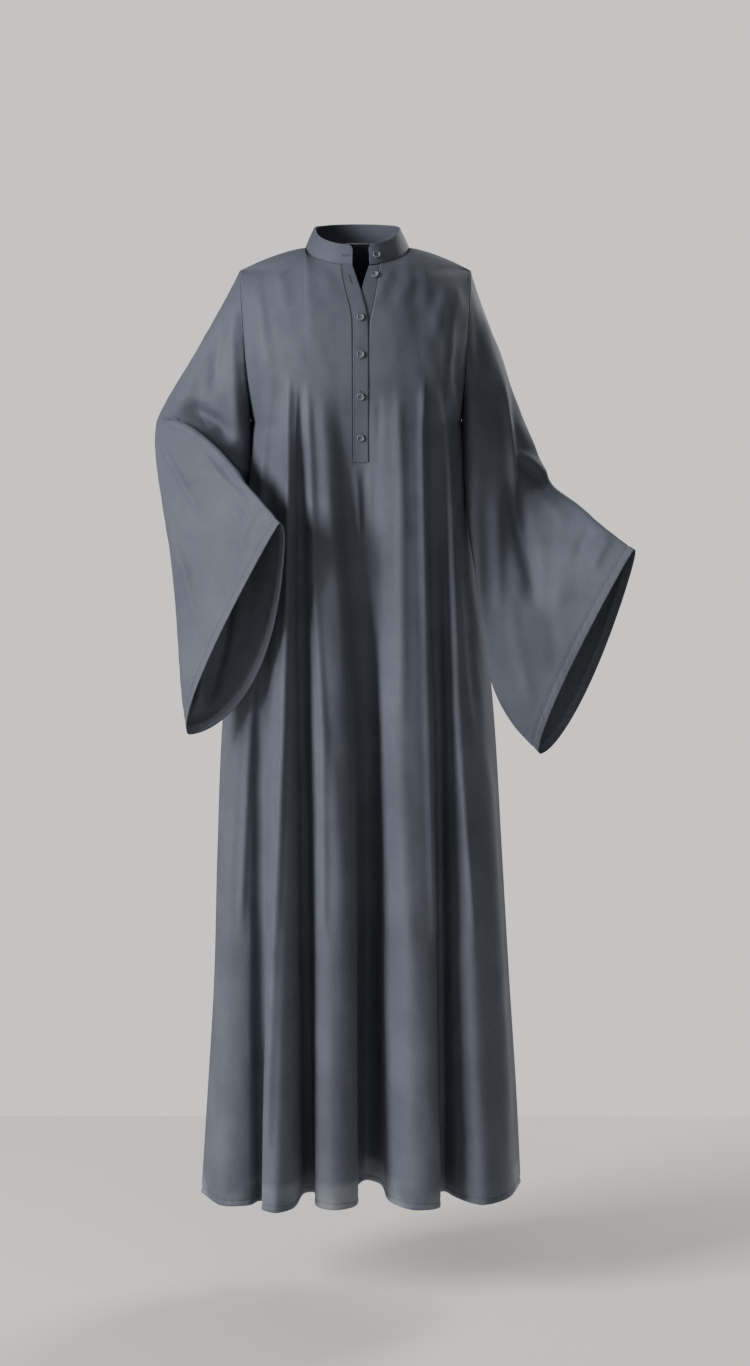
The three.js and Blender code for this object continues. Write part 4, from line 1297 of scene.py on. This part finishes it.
@dataclass
class Sleeve:
    """A wide bell sleeve, one tube of cloth from the armhole to its turned cuff.

    beside is how many sections the lowest line of the sleeve lies along the body. low_line says
    how near that line is meant: cosines of the angle from it. armhole_hold, in sections, and
    cuff_hold, in mm from the edge, are where the cloth starts to be free.
    """

    name: str
    side: Side
    rows: tuple[SleeveRow, ...]
    creases: tuple[Crease, ...]
    seed: int
    beside: float
    low_line: tuple[float, float] = (0.72, 0.95)
    armhole_hold: float = 0.35
    cuff_hold: tuple[float, float] = (-10.0, 30.0)
    columns: int = 168
    length_rows: int = 150
    cuff: float = 13.0
    thickness: float = 1.2
    flat: tuple[float, float] = (0.72, 0.48)
    flat_area: float = 0.235

    def surface(self, places: np.ndarray, angles: np.ndarray) -> np.ndarray:
        """Plain surface of the sleeve.

        Args:
            places: places along the sleeve, in sections, as a grid.
            angles: angles round it, one a column.

        Returns:
            Grid of points.
        """
        outward = self.side.value
        tip, low = (
            CUT.armhole_x(self.side, z) + outward * ARMHOLE_GAP for z in (CUT.armhole_top, UNDERARM_Z)
        )
        armhole: SleeveRow = (
            (tip, CUT.tip_y, CUT.armhole_top),
            (low, 0.0, UNDERARM_Z),
            CUT.armhole_front,
            CUT.armhole_back,
            0.0,
            0.0,
        )
        rows = (armhole, *self.rows)
        tops = catmull(np.array([row[0] for row in rows], float), places)
        lows = catmull(np.array([row[1] for row in rows], float), places)
        front, back, turn, sag = (
            np.interp(places, np.arange(len(rows)), [row[k] for row in rows]) for k in (2, 3, 4, 5)
        )
        turn = np.radians(turn)
        out = np.stack([-outward * np.sin(turn), -np.cos(turn), np.zeros_like(turn)], -1)
        share = (1 + np.cos(angles)) / 2
        bulge = np.sin(angles) * (1 - sag * np.cos(angles))
        reach = bulge * np.where(bulge > 0, front, back)
        return lows + (tops - lows) * share[..., None] + out * reach[..., None]

    def build(self, wardrobe: Wardrobe) -> None:
        """Builds the sleeve with its cuff stitches.

        Args:
            wardrobe: the finishes.
        """
        last = float(len(self.rows))
        angles = -self.side.value * 2 * math.pi * np.arange(self.columns) / self.columns
        # Millimetres a section near the cuff, measured over the last part of a section
        part = 0.3
        tail = self.surface(np.array([[last - part], [last]]) * np.ones((1, self.columns)), angles[None, :])
        speed = np.linalg.norm(tail[1] - tail[0], axis=-1) / part
        near_cuff = [26.0, 22.0, 18.5, 15.5, self.cuff, 10.5, 7.5, 4.5, 2.0, 0.0]
        body = np.linspace(0, 1, self.length_rows)[:-1, None] * (last - near_cuff[0] / speed)[None, :]
        places = np.concatenate([body, last - np.array(near_cuff)[:, None] / speed[None, :]])
        cloth = Cloth(self.surface(places, np.broadcast_to(angles, places.shape)), wraps=True)
        from_edge = (last - places) * speed[None, :]
        hold = smoothstep(places, 0.0, self.armhole_hold) * smoothstep(from_edge, *self.cuff_hold)
        # The lowest line lies along the body, and no crease may pull it away from there
        lies = smoothstep(-np.cos(angles), *self.low_line)[None, :]
        hold = hold * (1 - lies * (1 - smoothstep(places, self.beside - 1, self.beside)))
        cloth.crease(self.creases, hold)
        cloth.ripple(height=0.5, length=110.0, seed=self.seed, hold=hold)
        cloth.ripple(height=0.22, length=24.0, seed=self.seed + 1, hold=hold)
        cloth.furrow(from_edge, at=self.cuff, depth=1.1, width=2.4)
        piece = cloth.build(f"{self.name}_cloth", self.thickness, wardrobe.crepe)
        attach(piece, self.name, slot="cloth")
        row = near_cuff.index(self.cuff) - len(near_cuff)
        ring = cloth.closed()[row]
        out = cloth.outward()[row]
        thread = Topstitch(f"{self.name}_cuff_stitches", radius=0.36).build(
            [(ring, np.vstack([out, out[:1]]))], wardrobe.thread
        )
        attach(thread)
        LOG.info("%s: cloth %.3f m2, cut %.3f m2", self.name, cloth.area(), self.flat_area)


@dataclass
class Collar:
    """A folded stand collar, open at the front, with rounded ends and an edge stitch."""

    height: float = 29.0
    wall: float = 2.2
    end_right: float = -8.0
    end_left: float = 18.0
    top_share: float = 0.83
    end_lean: float = 0.75
    end_radius: float = 8.0
    end_margin: float = 2.0
    end_columns: int = 15
    end_crowding: float = 1.3
    fullness: float = 0.012
    columns: int = 200
    rows: int = 14
    edge_stitch: float = 3.5
    stitch_margin: int = 4

    def grid(self) -> np.ndarray:
        """Outer face of the band, from its top edge down."""
        start = float(CUT.neck_angle(self.end_left))
        end = 2 * math.pi + float(CUT.neck_angle(self.end_right))
        ends = np.linspace(0, 1, self.end_columns)[1:] ** self.end_crowding
        ends = ends * (self.end_radius + self.end_margin) / CUT.neck_front
        middle = np.linspace(start + ends[-1], end - ends[-1], self.columns)[1:-1]
        angles = np.concatenate([[start], start + ends, middle, (end - ends)[::-1], [end]])
        base = CUT.neck_point(angles)
        from_end = np.minimum(angles - start, end - angles) * CUT.neck_front
        short = np.maximum(0, self.end_radius - from_end)
        round_off = self.end_radius - np.sqrt(np.maximum(0, self.end_radius**2 - short**2))
        rows = []
        for share in np.linspace(1, 0, self.rows):
            rise = (self.height - round_off) * share
            lean = lerp(self.end_lean, 1.0, np.abs(np.sin(angles)))
            draw = lerp(1.0, self.top_share, rise / self.height * lean)
            # Folded cloth stands in a slight roll, fuller half way up
            full = 1 + self.fullness * math.sin(math.pi * share)
            z = base[:, 2] + 2 * SEAM_GAP + rise
            rows.append(np.stack([base[:, 0] * draw * full, base[:, 1] * draw * full, z], -1))
        return np.array(rows)

    def build(self, wardrobe: Wardrobe) -> Cloth:
        """Builds the collar and its stitches.

        Args:
            wardrobe: the finishes.

        Returns:
            The collar's grid.
        """
        cloth = Cloth(self.grid())
        cloth.ripple(height=0.35, length=40.0, seed=31)
        piece = cloth.build("collar_band_cloth", self.wall, wardrobe.strip)
        round_folds(piece, 0.7)
        attach(piece, "collar_band", slot="strip")
        out = cloth.outward()
        share = self.edge_stitch / self.height * (self.rows - 1)
        k, part = int(share), share - int(share)
        top = lerp(cloth.points[k], cloth.points[k + 1], part)
        low = lerp(cloth.points[-2], cloth.points[-1], 0.2)
        sewn = slice(self.stitch_margin, -self.stitch_margin)
        stitches = Topstitch("collar_stitches", radius=0.2).build(
            [(top[sewn], out[k][sewn]), (low[sewn], out[-2][sewn])], wardrobe.thread
        )
        attach(stitches)
        return cloth


@dataclass
class PlacketStrip:
    """One folded strip of the placket, with its edge stitches."""

    name: str
    start: str
    end: str
    start_inset: float
    end_inset: float
    lift: float
    front: BodyPanel
    rows: int = 110
    columns: int = 14
    thickness: float = 1.1
    edge_stitch: float = 1.8
    row_crowding: float = 1.15
    gauge_row: int = 60
    box_height: float = 11.0

    def chest(self, x: np.ndarray, z: np.ndarray) -> np.ndarray:
        """Points of the front between the two edges of the slit."""
        right, left = (float(self.front.line(f"placket_{s}")) for s in ("right", "left"))
        slit = (PLACKET.straight("slit_right", z), PLACKET.straight("slit_left", z))
        places = right + np.clip((x - slit[0]) / (slit[1] - slit[0]), 0, 1) * (left - right)
        y = np.empty_like(x)
        for k, (place, height) in enumerate(zip(places, z)):
            here = np.array([place])
            if height > BUST_Z:
                foot = self.front.section(BUST_Z, here)
                y[k] = self.front.yoke(self.front.tops(here), foot, np.array([height]))[0, 1]
            else:
                y[k] = self.front.section(float(height), here)[0, 1]
        return np.stack([x, y, z], -1)

    def grid(self) -> np.ndarray:
        """Outer face of the strip, before it is lifted."""
        rows = []
        edges = [PLACKET.column(self.start)[0], PLACKET.column(self.end)[0]]
        across = np.linspace(0, 1, self.columns + 1)
        tops = CUT.top_point(lerp(edges[0], edges[1], across), Facing.FRONT)
        for i in range(self.rows + 1):
            z = lerp(tops[:, 2], PLACKET_FOOT_Z + SEAM_GAP, (i / self.rows) ** self.row_crowding)
            left = PLACKET.straight(self.start, z) + self.start_inset
            right = PLACKET.straight(self.end, z) + self.end_inset
            rows.append(self.chest(lerp(left, right, across), z))
        return np.array(rows)

    def build(self, wardrobe: Wardrobe, box_stitch: bool) -> Cloth:
        """Builds the strip.

        Args:
            wardrobe: the finishes.
            box_stitch: whether the foot is sewn down through all layers.

        Returns:
            The lifted grid.
        """
        cloth = Cloth(self.grid())
        cloth.push(self.lift)
        cloth.ripple(height=0.22, length=34.0, seed=41)
        piece = cloth.build(f"{self.name}_cloth", self.thickness, wardrobe.strip)
        round_folds(piece, 0.35)
        attach(piece, self.name, slot="strip")
        out = cloth.outward()
        gauge = cloth.points[self.gauge_row]
        k = max(1, round(self.edge_stitch / float(np.linalg.norm(gauge[1] - gauge[0]))))
        lines = [np.s_[:-2, k]]
        if box_stitch:
            foot = self.rows - 2
            box_top = int(np.argmin(np.abs(cloth.points[:, 0, 2] - (PLACKET_FOOT_Z + self.box_height))))
            lines += [np.s_[:-2, -1 - k], np.s_[foot, k:-k], np.s_[box_top, k:-k]]
        stitches = Topstitch(f"{self.name}_stitches", radius=0.2, stitch=2.6, gap=0.7).build(
            [(cloth.points[line], out[line]) for line in lines], wardrobe.thread
        )
        attach(stitches)
        return cloth


@dataclass
class Buttons:
    """Rimmed resin buttons, with the thread of two sewing holes laid over a dish that has no holes, and the
    worked buttonholes.
    """

    radius: float = 5.5
    thick: float = 2.6
    sides: int = 40
    dish: float = 1.4
    thread_offset: float = 0.32
    thread_reach: float = 1.2
    thread_rise: float = 0.28
    hole_pitch: float = 0.8
    hole_inner: float = 0.25
    hole_outer: float = 1.35
    bar_gap: float = 0.3
    bar_reach: float = 1.5

    def _frame(self, node: str) -> tuple[np.ndarray, Matrix]:
        """Centre of the solid button's back and a matrix that turns +Z to its face."""
        piece = bpy.data.objects.get(node) or next(o for o in bpy.data.objects if o.name.startswith(node))
        corners = np.array([piece.matrix_world @ v.co for v in piece.data.vertices]) / MM
        centre = corners.mean(0)
        _, _, axes = np.linalg.svd(corners - centre)
        axis = -axes[2] if axes[2][1] > 0 else axes[2]
        back = centre + axis * ((corners - centre) @ axis).min()
        return back, Vector(axis).to_track_quat("Z", "Y").to_matrix()

    def build_one(self, node: str, wardrobe: Wardrobe) -> None:
        """Builds one button with its thread.

        Args:
            node: name of the solid button.
            wardrobe: the finishes.
        """
        back, turn = self._frame(node)

        def placed(points: Sequence[tuple[float, float, float]]) -> np.ndarray:
            """Points turned to the button's face and moved to its back."""
            return np.array([np.array(turn @ Vector(p)) + back for p in points])

        r, t, floor = self.radius, self.thick, self.thick - self.dish
        # Distance from the middle and height, from the back round the rim to the dish
        profile = [
            (0.0, 0.0), (r - 0.9, 0.0), (r - 0.3, 0.25), (r, 0.9), (r, t - 0.9), (r - 0.25, t - 0.3),
            (r - 0.7, t - 0.02), (r - 1.2, t - 0.05), (r - 1.5, t - 0.5), (r - 1.8, t - 1.2),
            (r - 2.3, t - 1.45), (1.9, t - 1.45), (1.5, t - 1.42), (0.0, floor),
        ]
        turns = [2 * math.pi * s / self.sides for s in range(self.sides)]
        points = [(x * math.cos(a), x * math.sin(a), z) for x, z in profile for a in turns]
        faces = tube_faces(len(profile), self.sides)
        attach(new_mesh(f"{node}_resin", placed(points), faces, wardrobe.resin), node, slot="button")
        # The thread drawn across the dish between the places of the two sewing holes, which are not cut
        threads = []
        for offset in (-self.thread_offset, self.thread_offset):
            line = []
            for y in np.linspace(-self.thread_reach, self.thread_reach, 7):
                rise = self.thread_rise * math.cos(y / self.thread_reach * math.pi / 2)
                line.append((offset, y, floor + rise))
            up = np.array(turn @ Vector((0, 0, 1)))
            threads.append((placed(line), np.repeat(up[None, :], len(line), 0)))
        attach(Topstitch(f"{node}_thread", stitch=2.3, gap=0.05, radius=0.24).build(threads, wardrobe.thread))

    def buttonhole(
        self,
        name: str,
        cloth: Cloth,
        at: tuple[int, int],
        step: tuple[int, int],
        length: float,
        wardrobe: Wardrobe,
    ) -> None:
        """Works one buttonhole: two rows of close stitches and a bar at each end.

        Args:
            name: name of the piece.
            cloth: the cloth that it is cut in.
            at: row and column of its middle.
            step: rows and columns from there to the next point along the slit.
            length: length of the slit.
            wardrobe: the finishes.
        """
        (row, column), (down, across) = at, step
        centre, out = cloth.points[row, column], cloth.outward()[row, column]
        along = cloth.points[row + down, column + across] - cloth.points[row - down, column - across]
        along /= np.linalg.norm(along)
        side = np.cross(along, out)
        lines = []
        for k in np.arange(-length / 2, length / 2 + 0.01, self.hole_pitch):
            here = centre + along * k
            for way in (-side, side):
                lines.append(np.linspace(here + way * self.hole_inner, here + way * self.hole_outer, 3))
        for end in (-1, 1):
            middle = centre + along * end * (length / 2 + self.bar_gap)
            lines.append(np.linspace(middle - side * self.bar_reach, middle + side * self.bar_reach, 3))
        paths = [(line, np.repeat(out[None, :], 3, 0)) for line in lines]
        attach(Topstitch(name, stitch=1.05, gap=0.01, radius=0.26).build(paths, wardrobe.thread))

    def placket_holes(self, strip: Cloth, wardrobe: Wardrobe) -> None:
        """Works the upright buttonholes of the upper strip."""
        middle = strip.points.shape[1] // 2
        for k, z in enumerate(BUTTONHOLE_HEIGHTS):
            row = int(np.argmin(np.abs(strip.points[:, middle, 2] - z)))
            self.buttonhole(f"buttonhole_{k}", strip, (row, middle), (1, 0), 13.0, wardrobe)

    def collar_hole(self, band: Cloth, wardrobe: Wardrobe, inset: float = 11.0) -> None:
        """Works the level buttonhole near the band's last column, on the wearer's right."""
        row, half = len(band.points) // 2, band.points.shape[1] // 2
        from_end = np.linalg.norm(band.points[row] - band.points[row, -1], axis=-1)[half:]
        column = half + int(np.argmin(np.abs(from_end - inset)))
        self.buttonhole("buttonhole_collar", band, (row, column), (0, 1), 11.0, wardrobe)


@dataclass(frozen=True)
class Lamp:
    """A soft square lamp, with its place, target and side in metres and its power in watts."""

    name: str
    place: tuple[float, float, float]
    size: float
    power: float
    target: tuple[float, float, float] = (0.0, 0.0, -0.7)

    def build(self) -> None:
        """Adds the lamp."""
        data = bpy.data.lights.new(self.name, "AREA")
        data.size = self.size
        data.energy = self.power
        lamp = bpy.data.objects.new(self.name, data)
        lamp.visible_camera = False
        lamp.location = self.place
        lamp.rotation_euler = (Vector(self.target) - Vector(self.place)).to_track_quat("-Z", "Y").to_euler()
        bpy.context.collection.objects.link(lamp)


@dataclass
class Studio:
    """Plain floor before an even, pale background, soft lamps and the camera, in metres."""

    floor_z: float = -1.613
    floor_end: float = 0.95
    floor_reach: float = 2.4
    backdrop: str = "d0ccc8"
    backdrop_strength: float = 1.6
    air_strength: float = 0.11
    focal: float = 87.8
    sensor: float = 36.0
    place: tuple[float, float, float] = (0.0255, -5.0, 0.1396)
    tilt: float = 9.0
    lamps: tuple[Lamp, ...] = (
        Lamp("Key", (-3.5, -2.1, 0.8), 1.7, 250.0),
        Lamp("Fill", (1.6, -4.2, 0.6), 2.4, 19.0),
        Lamp("Top", (-0.4, -0.8, 2.6), 2.0, 16.0, (0.0, 0.0, -0.6)),
        Lamp("Back", (2.6, 3.0, 1.2), 1.8, 150.0),
    )

    def build(self) -> None:
        """Builds the studio."""
        self._floor()
        self._air()
        self._camera()
        for lamp in self.lamps:
            lamp.build()

    def _floor(self) -> None:
        """Pale floor, the same from every side but the far one, where the background begins."""
        z, w, end = self.floor_z / MM, self.floor_reach / MM, self.floor_end / MM
        corners = np.array([(-w, -w, z), (w, -w, z), (w, end, z), (-w, end, z)])
        new_mesh("floor", corners, [(0, 1, 2, 3)], StudioPaint("floor_paint", "efebe7").build())

    def _air(self) -> None:
        """Background: pale where the camera looks at it, and a weak light everywhere else."""
        world = bpy.data.worlds.new("Studio")
        world.use_nodes = True
        tree = world.node_tree
        seen = add_node(tree, "ShaderNodeLightPath").outputs["Is Camera Ray"]
        strength = remap(tree, seen, end=(self.air_strength, self.backdrop_strength))
        feed(tree, tree.nodes["Background"], Color=linear(self.backdrop), Strength=strength)
        bpy.context.scene.world = world

    def _camera(self) -> None:
        """Camera at eye height, looking slightly down."""
        data = bpy.data.cameras.new("Camera")
        data.lens = self.focal
        data.sensor_width = self.sensor
        data.clip_end = 100.0
        camera = bpy.data.objects.new("Camera", data)
        camera.location = self.place
        camera.rotation_euler = (math.radians(90 - self.tilt), 0.0, 0.0)
        bpy.context.collection.objects.link(camera)
        bpy.context.scene.camera = camera


def main() -> None:
    """Builds the garment and its studio, and logs the faces of each piece and the cloth and cut areas of the
    panels and sleeves.
    """
    logging.basicConfig(level=logging.INFO, format="%(message)s")
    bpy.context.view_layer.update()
    wardrobe = Wardrobe.build()
    front = BodyPanel("front_panel", Facing.FRONT, FRONT_FOLDS, FRONT_CREASES, steps=10, seed=11)
    back = BodyPanel("back_panel", Facing.BACK, BACK_FOLDS, BACK_CREASES, steps=9, seed=13)
    band = Collar().build(wardrobe)
    front.build(wardrobe)
    back.build(wardrobe)
    for sleeve in (
        Sleeve("sleeve_right", Side.RIGHT, RIGHT_SLEEVE, RIGHT_SLEEVE_CREASES, seed=17, beside=3.6),
        Sleeve("sleeve_left", Side.LEFT, LEFT_SLEEVE, LEFT_SLEEVE_CREASES, seed=19, beside=7.4),
    ):
        sleeve.build(wardrobe)
    under = PlacketStrip("placket_under", "inner", "slit_left", 0.0, -SEAM_GAP, -0.8, front)
    under.build(wardrobe, box_stitch=False)
    over = PlacketStrip("placket_over", "slit_right", "overlap", SEAM_GAP, 0.0, 1.2, front)
    strip = over.build(wardrobe, box_stitch=True)
    buttons = Buttons()
    for node in ("button_1", "button_2", "button_3", "button_4", "button_neck", "button_collar"):
        buttons.build_one(node, wardrobe)
    buttons.placket_holes(strip, wardrobe)
    buttons.collar_hole(band, wardrobe)
    Studio().build()


if __name__ == "__main__":
    main()
